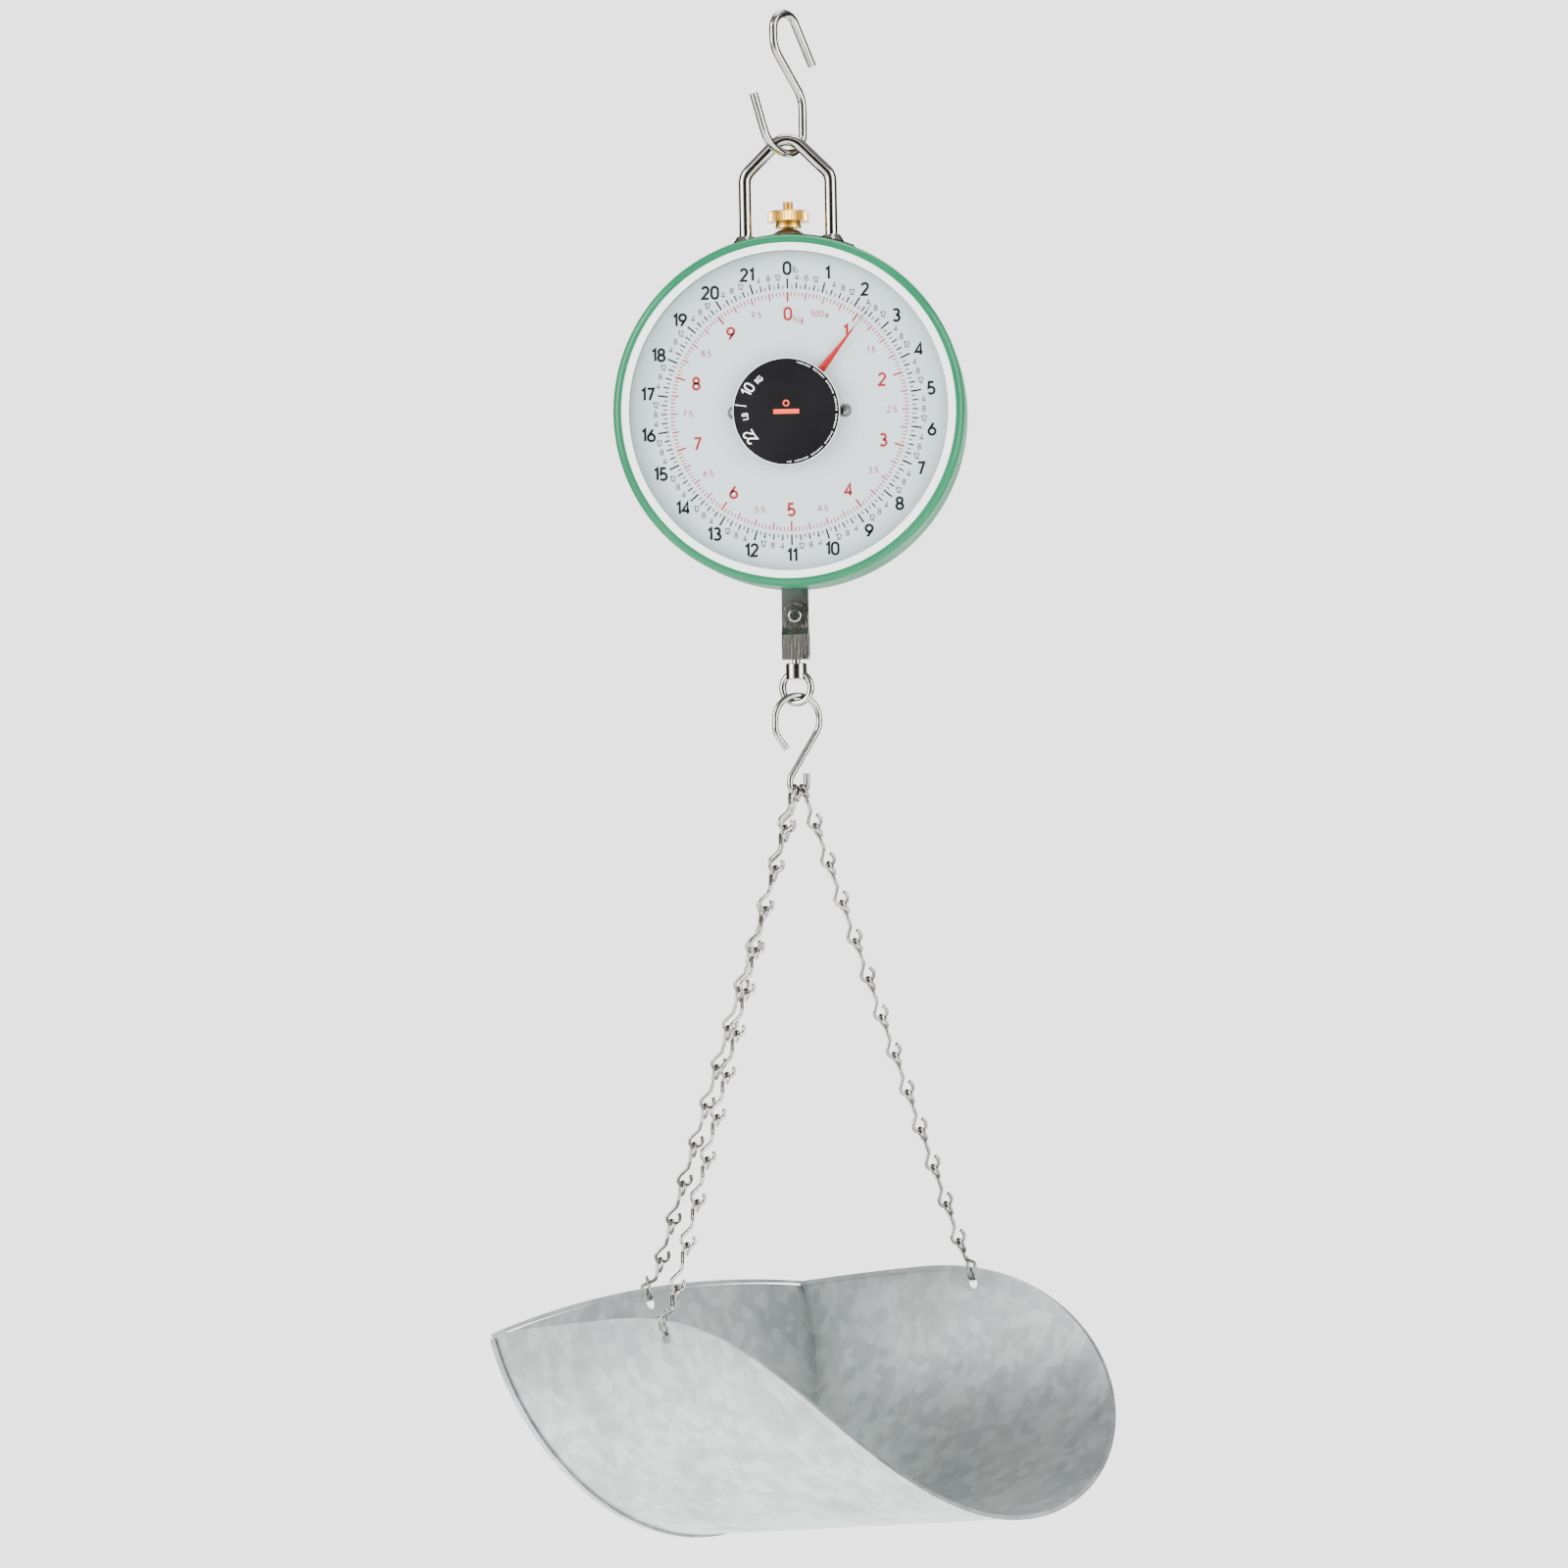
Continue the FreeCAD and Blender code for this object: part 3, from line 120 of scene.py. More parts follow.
sixLines = [[(0.44, 1.0), (0.045, 0.42)], arc(0.29, 0.29, 0.29, 0.29, 150, 510, 26)]
glyphs = {
    "0": (0.56, [arc(0.28, 0.70, 0.28, 0.30, 0, 180) + arc(0.28, 0.30, 0.28, 0.30, 180, 360)
                 + [(0.56, 0.70)]]),
    "1": (0.24, [[(0.0, 0.80), (0.24, 1.0), (0.24, 0.0)]]),
    "2": (0.55, [arc(0.27, 0.73, 0.26, 0.27, 168, -38) + [(0.0, 0.0), (0.55, 0.0)]]),
    "3": (0.54, [arc(0.26, 0.76, 0.23, 0.24, 152, -90) + arc(0.26, 0.26, 0.28, 0.26, 90, -150)]),
    "4": (0.60, [[(0.44, 0.0), (0.44, 1.0), (0.0, 0.25), (0.60, 0.25)]]),
    "5": (0.54, [[(0.49, 1.0), (0.09, 1.0), (0.04, 0.50)] + arc(0.26, 0.29, 0.28, 0.29, 128, -146)]),
    "6": (0.58, sixLines),
    "7": (0.53, [[(0.0, 1.0), (0.53, 1.0), (0.17, 0.0)]]),
    "8": (0.56, [arc(0.28, 0.75, 0.235, 0.25, -90, 270, 24), arc(0.28, 0.25, 0.28, 0.25, 90, 450, 26)]),
    "9": (0.58, turned(sixLines, 0.58)),
    ".": (0.06, [[(0.03, 0.0), (0.03, 0.10)]]),
    "l": (0.05, [[(0.02, 0.0), (0.02, 1.0)]]),
    "b": (0.50, [[(0.02, 1.0), (0.02, 0.0)], arc(0.26, 0.25, 0.24, 0.25, -180, 180, 22)]),
    "k": (0.44, [[(0.02, 1.0), (0.02, 0.0)], [(0.40, 0.54), (0.02, 0.20)], [(0.16, 0.32), (0.42, 0.0)]]),
    "g": (0.50, [arc(0.24, 0.25, 0.24, 0.25, 0, 360, 22),
                 [(0.48, 0.52), (0.48, -0.10)] + arc(0.26, -0.10, 0.22, 0.20, 0, -150)]),
    "o": (0.50, [arc(0.25, 0.25, 0.25, 0.25, 0, 360, 22)]),
    "z": (0.42, [[(0.0, 0.50), (0.40, 0.50), (0.0, 0.0), (0.42, 0.0)]]),
    "L": (0.46, [[(0.03, 1.0), (0.03, 0.0), (0.46, 0.0)]]),
    "B": (0.52, [[(0.03, 0.0), (0.03, 1.0), (0.28, 1.0)] + arc(0.28, 0.76, 0.20, 0.24, 90, -90)
                 + [(0.03, 0.52), (0.28, 0.52)] + arc(0.28, 0.26, 0.24, 0.26, 90, -90) + [(0.03, 0.0)]]),
    "K": (0.56, [[(0.03, 1.0), (0.03, 0.0)], [(0.52, 1.0), (0.03, 0.40)], [(0.18, 0.56), (0.56, 0.0)]]),
    "G": (0.66, [arc(0.35, 0.5, 0.35, 0.50, 48, 340, 22) + [(0.68, 0.46), (0.40, 0.46)]]),
}


def ribbon(points, faces, line, width, place, depth):
    # a flat band of the given width along a line of (x, y) points, mitred at each bend and given
    # a little thickness, then put on the object by place(x, y, d)
    closed = len(line) > 3 and math.dist(line[0], line[-1]) < 1e-6
    if closed:
        line = line[:-1]
    count = len(line)
    spine = np.array(line, float)
    ahead = np.roll(spine, -1, 0) - spine
    if not closed:
        ahead[-1] = ahead[-2]
    ahead /= np.linalg.norm(ahead, axis=1, keepdims=True) + 1e-12
    behind = np.roll(ahead, 1, 0)
    if not closed:
        behind[0] = ahead[0]
    side = np.stack([-(ahead[:, 1] + behind[:, 1]), ahead[:, 0] + behind[:, 0]], 1)
    side /= np.linalg.norm(side, axis=1, keepdims=True) + 1e-12
    square = -side[:, 0] * ahead[:, 1] + side[:, 1] * ahead[:, 0]
    side *= (width / 2 / np.clip(square, 0.45, 1))[:, None]
    base = len(points)
    for k in range(count):
        for sign, d in ((1, 0), (-1, 0), (-1, 1), (1, 1)):
            points.append(place(spine[k, 0] + sign * side[k, 0], spine[k, 1] + sign * side[k, 1],
                                depth * d))
    for k in range(count if closed else count - 1):
        a, b = base + 4 * k, base + 4 * ((k + 1) % count)
        for c in range(4):
            d = (c + 1) % 4
            faces.append((a + c, a + d, b + d, b + c))
    if not closed:
        faces.append((base + 3, base + 2, base + 1, base))
        end = base + 4 * (count - 1)
        faces.append((end, end + 1, end + 2, end + 3))


def word(points, faces, text, height, weight, place, depth, spacing=0.20):
    # the text's strokes scaled to height, with each glyph's middle line centred about zero
    widths = [glyphs[c][0] * height for c in text]
    gap = spacing * height
    x = -(sum(widths) + gap * (len(text) - 1)) / 2
    for c, width in zip(text, widths):
        for line in glyphs[c][1]:
            ribbon(points, faces, [(x + px * height, (py - 0.5) * height) for px, py in line],
                   weight, place, depth)
        x += width + gap


def onDial(x, z, level=0.0):
    # flat on the dial's face: x to the right, z up, standing off towards the reader
    face = dialFace - level
    return lambda u, v, d: (dialX + x + u, face - d, dialZ + z + v)


def aroundDial(angle, level=0.0):
    # u runs out along a radius at this clock angle, v sideways to it
    s, c = math.sin(angle), math.cos(angle)
    face = dialFace - level
    return lambda u, v, d: (dialX + u * s + v * c, face - d, dialZ + u * c - v * s)


def aroundBadge(angle, radius):
    # a letter on the badge whose top points outwards, at an angle from +X towards +Z
    s, c = math.sin(angle), math.cos(angle)
    return lambda u, v, d: (badgeX + (radius + v) * c + u * s, badgeFace - d,
                            badgeZ + (radius + v) * s - u * c)


# shader helpers
def nodeTree(name):
    material = bpy.data.materials.new(name)
    material.use_nodes = True
    tree = material.node_tree
    shader = tree.nodes["Principled BSDF"]
    return material, tree, shader


def addNode(tree, kind, **values):
    node = tree.nodes.new(kind)
    for key, value in values.items():
        if hasattr(node, key):
            setattr(node, key, value)
        else:
            node.inputs[key].default_value = value
    return node


def groupTree(name, inputs, outputs):
    tree = bpy.data.node_groups.new(name, "ShaderNodeTree")
    for label, kind, value in inputs:
        socket = tree.interface.new_socket(label, in_out="INPUT", socket_type="NodeSocket" + kind)
        if value is not None:
            socket.default_value = value
    for label, kind in outputs:
        tree.interface.new_socket(label, in_out="OUTPUT", socket_type="NodeSocket" + kind)
    return tree, tree.nodes.new("NodeGroupInput"), tree.nodes.new("NodeGroupOutput")


def ramp(tree, source, low, high, fromValue=0.0, toValue=1.0):
    node = addNode(tree, "ShaderNodeMapRange", interpolation_type="SMOOTHSTEP")
    node.inputs["From Min"].default_value = low
    node.inputs["From Max"].default_value = high
    node.inputs["To Min"].default_value = fromValue
    node.inputs["To Max"].default_value = toValue
    tree.links.new(source, node.inputs["Value"])
    return node.outputs["Result"]


def blendColour(tree, mask, first, second):
    node = addNode(tree, "ShaderNodeMix", data_type="RGBA")
    for socket, value in ((node.inputs[6], first), (node.inputs[7], second)):
        if isinstance(value, tuple):
            socket.default_value = value + (1.0,) if len(value) == 3 else value
        else:
            tree.links.new(value, socket)
    tree.links.new(mask, node.inputs[0])
    return node.outputs[2]


def makeSpangleGroup():
    # zinc spangle: soft blotches a few millimetres across, broken up by a finer cloud, plus a
    # fine grain that tilts the surface a little
    tree, source, result = groupTree("spangle", [
        ("Vector", "Vector", None), ("Blotch Scale", "Float", 60.0), ("Cloud Scale", "Float", 18.0),
        ("Grain Scale", "Float", 900.0), ("Grain Height", "Float", 0.02)],
        [("Blotch", "Float"), ("Cloud", "Float"), ("Normal", "Vector")])
    link = tree.links.new
    cells = addNode(tree, "ShaderNodeTexVoronoi", feature="SMOOTH_F1")
    cells.inputs["Smoothness"].default_value = 0.55
    link(source.outputs["Vector"], cells.inputs["Vector"])
    link(source.outputs["Blotch Scale"], cells.inputs["Scale"])
    cloud = addNode(tree, "ShaderNodeTexNoise")
    cloud.inputs["Detail"].default_value = 5.0
    cloud.inputs["Roughness"].default_value = 0.62
    link(source.outputs["Vector"], cloud.inputs["Vector"])
    link(source.outputs["Cloud Scale"], cloud.inputs["Scale"])
    grain = addNode(tree, "ShaderNodeTexNoise")
    grain.inputs["Detail"].default_value = 2.0
    link(source.outputs["Vector"], grain.inputs["Vector"])
    link(source.outputs["Grain Scale"], grain.inputs["Scale"])
    bump = addNode(tree, "ShaderNodeBump")
    bump.inputs["Distance"].default_value = 0.001
    link(source.outputs["Grain Height"], bump.inputs["Strength"])
    link(grain.outputs["Fac"], bump.inputs["Height"])
    separate = addNode(tree, "ShaderNodeSeparateColor")
    link(cells.outputs["Color"], separate.inputs["Color"])
    link(separate.outputs["Red"], result.inputs["Blotch"])
    link(cloud.outputs["Fac"], result.inputs["Cloud"])
    link(bump.outputs["Normal"], result.inputs["Normal"])
    return tree


def makeWearGroup():
    # handling marks: a broad smudge, and thin scratches from a noise stretched along one axis
    tree, source, result = groupTree("wear", [
        ("Vector", "Vector", None), ("Smudge Scale", "Float", 25.0), ("Scratch Scale", "Float", 300.0),
        ("Stretch", "Vector", (1.0, 1.0, 0.06)), ("Height", "Float", 0.02)],
        [("Smudge", "Float"), ("Scratch", "Float"), ("Normal", "Vector")])
    link = tree.links.new
    smudge = addNode(tree, "ShaderNodeTexNoise")
    smudge.inputs["Detail"].default_value = 4.0
    link(source.outputs["Vector"], smudge.inputs["Vector"])
    link(source.outputs["Smudge Scale"], smudge.inputs["Scale"])
    stretch = addNode(tree, "ShaderNodeVectorMath", operation="MULTIPLY")
    link(source.outputs["Vector"], stretch.inputs[0])
    link(source.outputs["Stretch"], stretch.inputs[1])
    scratch = addNode(tree, "ShaderNodeTexNoise")
    scratch.inputs["Detail"].default_value = 3.0
    link(stretch.outputs[0], scratch.inputs["Vector"])
    link(source.outputs["Scratch Scale"], scratch.inputs["Scale"])
    bump = addNode(tree, "ShaderNodeBump")
    bump.inputs["Distance"].default_value = 0.001
    link(source.outputs["Height"], bump.inputs["Strength"])
    link(scratch.outputs["Fac"], bump.inputs["Height"])
    link(smudge.outputs["Fac"], result.inputs["Smudge"])
    link(scratch.outputs["Fac"], result.inputs["Scratch"])
    link(bump.outputs["Normal"], result.inputs["Normal"])
    return tree


spangleGroup = makeSpangleGroup()
wearGroup = makeWearGroup()


def useGroup(tree, group, **values):
    node = tree.nodes.new("ShaderNodeGroup")
    node.node_tree = group
    for key, value in values.items():
        node.inputs[key.replace("_", " ")].default_value = value
    place = addNode(tree, "ShaderNodeTexCoord")
    tree.links.new(place.outputs["Object"], node.inputs["Vector"])
    return node


def plated(name, colour, dark, rough, smudgeScale=30.0, scratchScale=260.0, height=0.02,
           stretch=(1.0, 1.0, 0.06), edge=0.0):
    # plated wire and sheet: a bright metal that darkens and dulls a little where smudged, and
    # whose sides, seen at a slant, go towards a near-black tone, a painted shade for dark reflections
    material, tree, shader = nodeTree(name)
    wear = useGroup(tree, wearGroup, Smudge_Scale=smudgeScale, Scratch_Scale=scratchScale,
                    Stretch=stretch, Height=height)
    mask = ramp(tree, wear.outputs["Smudge"], 0.35, 0.70)
    slant = addNode(tree, "ShaderNodeLayerWeight")
    slant.inputs["Blend"].default_value = 0.5
    # painted shade: the more a side is seen at a slant, the more its colour goes towards near-black, by the
    # edge amount
    rim = ramp(tree, slant.outputs["Facing"], 0.30, 0.80, 0.0, edge)
    wearAndSlantShadeTone = blendColour(tree, rim, blendColour(tree, mask, colour, dark), (0.06, 0.058, 0.052))
    tree.links.new(wearAndSlantShadeTone, shader.inputs["Base Color"])
    tree.links.new(ramp(tree, wear.outputs["Smudge"], 0.30, 0.75, rough, rough * 2.2),
                   shader.inputs["Roughness"])
    tree.links.new(wear.outputs["Normal"], shader.inputs["Normal"])
    shader.inputs["Metallic"].default_value = 1.0
    return material


def painted(name, colour, shade, rough, coat=0.6, peelScale=420.0, peelHeight=0.05, gloss=0.5):
    # enamel over metal: a faint drift in colour, orange peel in the surface and a clear coat
    material, tree, shader = nodeTree(name)
    wear = useGroup(tree, wearGroup, Smudge_Scale=14.0, Scratch_Scale=peelScale,
                    Stretch=(1.0, 1.0, 1.0), Height=peelHeight)
    mask = ramp(tree, wear.outputs["Smudge"], 0.30, 0.75)
    tree.links.new(blendColour(tree, mask, colour, shade), shader.inputs["Base Color"])
    tree.links.new(ramp(tree, wear.outputs["Smudge"], 0.2, 0.8, rough * 0.8, rough * 1.3),
                   shader.inputs["Roughness"])
    tree.links.new(wear.outputs["Normal"], shader.inputs["Normal"])
    slant = addNode(tree, "ShaderNodeLayerWeight")
    slant.inputs["Blend"].default_value = 0.5
    tree.links.new(ramp(tree, slant.outputs["Facing"], 0.55, 0.85, coat, 0.0), shader.inputs["Coat Weight"])
    shader.inputs["Coat Roughness"].default_value = 0.06
    shader.inputs["Specular IOR Level"].default_value = gloss
    return material


def printed(name, colour, rough=0.45):
    # ink: nearly flat, with a slight mottle in its density
    material, tree, shader = nodeTree(name)
    wear = useGroup(tree, wearGroup, Smudge_Scale=900.0, Scratch_Scale=700.0, Height=0.0)
    lighter = tuple(min(1.0, c * 1.12 + 0.01) for c in colour)
    mask = ramp(tree, wear.outputs["Smudge"], 0.35, 0.75)
    tree.links.new(blendColour(tree, mask, colour, lighter), shader.inputs["Base Color"])
    shader.inputs["Roughness"].default_value = rough
    return material


def galvanised(name):
    # zinc sheet: pale metal in slightly different greys from blotch to blotch, dulled unevenly
    material, tree, shader = nodeTree(name)
    zinc = useGroup(tree, spangleGroup, Blotch_Scale=150.0, Cloud_Scale=22.0, Grain_Scale=1300.0,
                    Grain_Height=0.05)
    blotch = blendColour(tree, ramp(tree, zinc.outputs["Blotch"], 0.1, 0.9), (0.345, 0.375, 0.375),
                         (0.445, 0.48, 0.475))
    cloud = ramp(tree, zinc.outputs["Cloud"], 0.46, 0.74, 0.0, 0.55)
    tree.links.new(blendColour(tree, cloud, blotch, (0.24, 0.24, 0.23)), shader.inputs["Base Color"])
    tree.links.new(ramp(tree, zinc.outputs["Cloud"], 0.25, 0.75, 0.36, 0.50), shader.inputs["Roughness"])
    tree.links.new(zinc.outputs["Normal"], shader.inputs["Normal"])
    shader.inputs["Metallic"].default_value = 0.92
    return material


def clearPane(name):
    # clear glazing: each surface mirrors by its Fresnel share and lets the rest straight through
    material, tree, shader = nodeTree(name)
    fresnel = addNode(tree, "ShaderNodeFresnel")
    fresnel.inputs["IOR"].default_value = 1.25
    wear = useGroup(tree, wearGroup, Smudge_Scale=40.0, Height=0.0)
    tree.links.new(fresnel.outputs["Fac"], shader.inputs["Alpha"])
    tree.links.new(ramp(tree, wear.outputs["Smudge"], 0.2, 0.8, 0.01, 0.04), shader.inputs["Roughness"])
    shader.inputs["Base Color"].default_value = (1.0, 1.0, 1.0, 1.0)
    shader.inputs["Metallic"].default_value = 1.0
    return material


# edge sets how strongly each metal's slant-facing sides are darkened as painted shade
looks = {
    "nickel_wire": plated("nickelWire", (0.40, 0.39, 0.365), (0.27, 0.26, 0.24), 0.10, edge=0.9),
    "nickel_rod": plated("nickelRod", (0.42, 0.405, 0.37), (0.29, 0.275, 0.245), 0.10, edge=0.85),
    "chain_nickel": plated("chainNickel", (0.36, 0.345, 0.32), (0.24, 0.23, 0.21), 0.12,
                           edge=0.9, smudgeScale=60.0),
    "zinc_steel": plated("zincSteel", (0.42, 0.42, 0.42), (0.30, 0.30, 0.29), 0.20, edge=0.7),
    "washer_steel": plated("washerSteel", (0.60, 0.58, 0.54), (0.40, 0.38, 0.35), 0.22, edge=0.6),
    "spring_steel": plated("springSteel", (0.45, 0.45, 0.45), (0.32, 0.32, 0.32), 0.28),
    "stirrup_steel": plated("stirrupSteel", (0.26, 0.25, 0.235), (0.11, 0.105, 0.095), 0.20,
                            smudgeScale=90.0, scratchScale=1500.0, height=0.35, stretch=(1.0, 1.0, 0.03)),
    "galvanised": galvanised("zincSheet"),
    "brass": plated("brass", (0.80, 0.50, 0.11), (0.55, 0.32, 0.06), 0.22, edge=0.35),
    "green_enamel": painted("greenEnamel", (0.010, 0.130, 0.058), (0.007, 0.105, 0.046), 0.40,
                            coat=0.35, gloss=0.03),
    "dial_white": painted("dialWhite", (0.76, 0.865, 0.905), (0.74, 0.85, 0.895), 0.35, coat=0.1),
    "pointer_red": painted("pointerRed", (0.50, 0.006, 0.006), (0.40, 0.004, 0.004), 0.28, coat=0.3),
    "lens_clear": clearPane("clearLens"),
    "lens_edge": painted("lensEdge", (0.80, 0.84, 0.83), (0.76, 0.81, 0.80), 0.18, coat=0.8),
    "badge_black": painted("badgeBlack", (0.006, 0.006, 0.007), (0.010, 0.010, 0.011), 0.16, coat=0.9),
}
inkBlack = printed("inkBlack", (0.002, 0.002, 0.002))
inkRed = printed("inkRed", (0.42, 0.003, 0.005))
inkPaleRed = printed("inkPaleRed", (0.42, 0.012, 0.014))
inkGrey = printed("inkGrey", (0.018, 0.018, 0.02))
inkWhite = printed("inkWhite", (0.86, 0.86, 0.84), 0.35)
inkOrange = printed("inkOrange", (0.70, 0.055, 0.015), 0.35)

for part in frame["record"]["subparts"]:
    piece = nodes[part["node"]]
    piece.data.materials.clear()
    piece.data.materials.append(looks[part["material_slot"]])
print("materials on the carried nodes")


# dial print
dialInk = dict(poundInner=68.5, poundOuter=74.4, fourOunce=71.9, twoOunce=70.5, poundText=80.0,
               ounceText=75.0, kiloOuter=66.7, kiloInner=61.2, halfInner=62.6, fiftyInner=64.3,
               kiloText=54.6, halfText=57.0, tall=6.5, small=3.0, depth=0.03)


def tick(points, faces, angle, inner, outer, width):
    ribbon(points, faces, [(inner * mm, 0.0), (outer * mm, 0.0)], width * mm,
           aroundDial(angle), dialInk["depth"] * mm)


def label(points, faces, text, angle, radius, height, weight, spacing=0.20, dx=0.0, dz=0.0):
    x = radius * math.sin(angle) + dx
    z = radius * math.cos(angle) + dz
    word(points, faces, text, height * mm, weight * mm, onDial(x * mm, z * mm),
         dialInk["depth"] * mm, spacing)


def finishInk(name, points, faces, ink, body="head"):
    piece = outward(meshPiece(name, points, faces))
    piece.data.materials.append(ink)
    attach(piece, body)
    return piece


blackPoints, blackFaces, greyPoints, greyFaces = [], [], [], []
redPoints, redFaces, palePoints, paleFaces = [], [], [], []
full = 2 * math.pi
for k in range(176):
    angle = full * k / 176
    if k % 8 == 0:
        tick(blackPoints, blackFaces, angle, dialInk["poundInner"], dialInk["poundOuter"], 1.0)
    elif k % 2 == 0:
        tick(blackPoints, blackFaces, angle, dialInk["poundInner"], dialInk["fourOunce"], 0.82)
        label(greyPoints, greyFaces, str(k % 8 * 2), angle, dialInk["ounceText"], dialInk["small"], 0.52)
    else:
        tick(greyPoints, greyFaces, angle, dialInk["poundInner"], dialInk["twoOunce"], 0.62)
for k in range(200):
    angle = full * k / 200
    if k % 20 == 0:
        tick(redPoints, redFaces, angle, dialInk["kiloInner"], dialInk["kiloOuter"], 1.0)
    elif k % 5 == 0:
        tick(palePoints, paleFaces, angle, dialInk["halfInner"], dialInk["kiloOuter"], 0.76)
    else:
        tick(palePoints, paleFaces, angle, dialInk["fiftyInner"], dialInk["kiloOuter"], 0.58)
for k in range(22):
    label(blackPoints, blackFaces, str(k), full * k / 22, dialInk["poundText"], dialInk["tall"], 1.42, 0.24)
for k in range(10):
    label(redPoints, redFaces, str(k), full * k / 10, dialInk["kiloText"], dialInk["tall"], 1.42, 0.24)
    half = "500g" if k == 0 else "%d.5" % k
    label(palePoints, paleFaces, half, full * (k + 0.5) / 10, dialInk["halfText"],
          dialInk["small"], 0.52, 0.30)
label(greyPoints, greyFaces, "lb", 0.0, dialInk["poundText"], 4.0, 0.45, 0.14, dx=4.6, dz=-0.6)
label(palePoints, paleFaces, "kg", 0.0, dialInk["kiloText"], 4.4, 0.45, 0.14, dx=5.6, dz=-2.4)
label(greyPoints, greyFaces, "oz", full * 2.0 / 176, dialInk["ounceText"], 1.7, 0.16, 0.14, dx=2.3, dz=-0.3)
finishInk("poundScale", blackPoints, blackFaces, inkBlack)
finishInk("ounceScale", greyPoints, greyFaces, inkGrey)
finishInk("kiloScale", redPoints, redFaces, inkRed)
finishInk("gramScale", palePoints, paleFaces, inkPaleRed)
print("dial printed")

# badge print
badgeInk = dict(rim=0.3, textRadius=24.7, tall=5.2, small=3.1, depth=0.04)
points, faces = [], []
rimLine = arc(0.0, 0.0, badgeRadius - badgeInk["rim"] * mm / 2, badgeRadius - badgeInk["rim"] * mm / 2,
              0, 360, 120)
ribbon(points, faces, rimLine, badgeInk["rim"] * mm,
       lambda u, v, d: (badgeX + u, badgeFace - d, badgeZ + v), badgeInk["depth"] * mm)
for text, angle, radius, height, weight in (("22", 214, 24.6, 5.5, 0.74), ("LB", 186, 23.0, 2.9, 0.42),
                                            ("10", 150, 24.6, 5.5, 0.74), ("KG", 130, 23.4, 2.9, 0.42)):
    step = (height * 0.66 if height > 4 else height * 0.72) / radius
    for k, c in enumerate(text):
        turn = math.radians(angle) - (k - 0.5) * step
        word(points, faces, c, height * mm, weight * mm, aroundBadge(turn, radius * mm),
             badgeInk["depth"] * mm)
ribbon(points, faces, [(0.0, -3.2 * mm), (0.0, 3.2 * mm)], 0.45 * mm,
       aroundBadge(math.radians(171.5), 25.6 * mm), badgeInk["depth"] * mm)
# two runs of tiny dashes follow the right-hand edge, in place of small print
for k in range(58):
    if k % 7 == 6:
        continue
    turn = math.radians(76 - k * 2.9)
    ribbon(points, faces, [(-0.32 * mm, 0.0), (0.32 * mm, 0.0)], (0.75 if k % 3 else 0.5) * mm,
           aroundBadge(turn, 28.0 * mm), badgeInk["depth"] * mm)
finishInk("badgePrint", points, faces, inkWhite)
points, faces = [], []
ribbon(points, faces, [(-7.2 * mm, 0.0), (7.2 * mm, 0.0)], 2.6 * mm,
       lambda u, v, d: (badgeX + u, badgeFace - d, badgeZ + v), badgeInk["depth"] * mm)
ribbon(points, faces, arc(0.0, 4.6 * mm, 1.5 * mm, 1.5 * mm, 0, 360, 32), 0.8 * mm,
       lambda u, v, d: (badgeX + u, badgeFace - d, badgeZ + v), badgeInk["depth"] * mm)
finishInk("badgeMark", points, faces, inkOrange)
print("badge printed")

# pointer
pointerPiece = dict(root=4.8, shoulder=27.0, reach=75.4, blade=59.6, tail=11.8,
                    needle=0.55, thick=0.86, reading=38.9)


def pointerBlade():
    # half width stays even as far as the shoulder, then falls in a straight line to the blade's
    # tip; the front is a low ridge along the middle line, and the back is flat
    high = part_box("pointer")[1]
    back = high.y - 0.02 * mm
    thick = pointerPiece["thick"] * mm
    stations = np.linspace(-pointerPiece["tail"], pointerPiece["blade"], 40)
    rows = []
    for s in stations:
        past = max(0.0, s - pointerPiece["shoulder"])
        share = 1 - past / (pointerPiece["blade"] - pointerPiece["shoulder"])
        widening = (pointerPiece["root"] - pointerPiece["needle"]) / 2 * share
        half = (pointerPiece["needle"] / 2 + widening) * mm
        rise = thick * (0.45 + 0.55 * share)
        edge = rise * 0.42
        section = [(-half, 0.0), (half, 0.0), (half, edge), (half * 0.22, rise), (-half * 0.22, rise),
                   (-half, edge)]
        rows.append([(u, s * mm, d) for u, d in section])
    rows = np.array(rows)
    a = math.radians(pointerPiece["reading"])
    x = dialX + rows[..., 0] * math.cos(a) + rows[..., 1] * math.sin(a)
    z = dialZ - rows[..., 0] * math.sin(a) + rows[..., 1] * math.cos(a)
    y = back - rows[..., 2]
    return outward(gridPiece("pointerBlade", np.stack([x, y, z], -1), smooth=False))


def pointerNeedle():
    # a fine round wire that runs on from the blade's tip
    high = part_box("pointer")[1]
    middle = high.y - 0.30 * mm
    a = math.radians(pointerPiece["reading"])
    radius = pointerPiece["needle"] / 2 * 0.8 * mm
    rows = []
    for s, r in ((pointerPiece["blade"] - 1.0, radius), (pointerPiece["reach"] - 1.5, radius),
                 (pointerPiece["reach"] - 0.2, radius * 0.4)):
        ring = [(r * math.cos(t), s * mm, r * math.sin(t))
                for t in np.linspace(0, full, 12, endpoint=False)]
        rows.append(ring)
    rows = np.array(rows)
    x = dialX + rows[..., 0] * math.cos(a) + rows[..., 1] * math.sin(a)
    z = dialZ - rows[..., 0] * math.sin(a) + rows[..., 1] * math.cos(a)
    return outward(gridPiece("pointerNeedle", np.stack([x, middle + rows[..., 2], z], -1)))


blade = pointerBlade()
blade.data.materials.append(looks["pointer_red"])
needle = pointerNeedle()
needle.data.materials.append(inkBlack)
for piece, slotName in ((blade, "pointer_red"), (needle, "badge_black")):
    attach(piece, "pointer")
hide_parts("pointer")
print("pointer made")

# threaded stud
studPiece = dict(pitch=1.0, depth=0.42, threadLength=16.0)


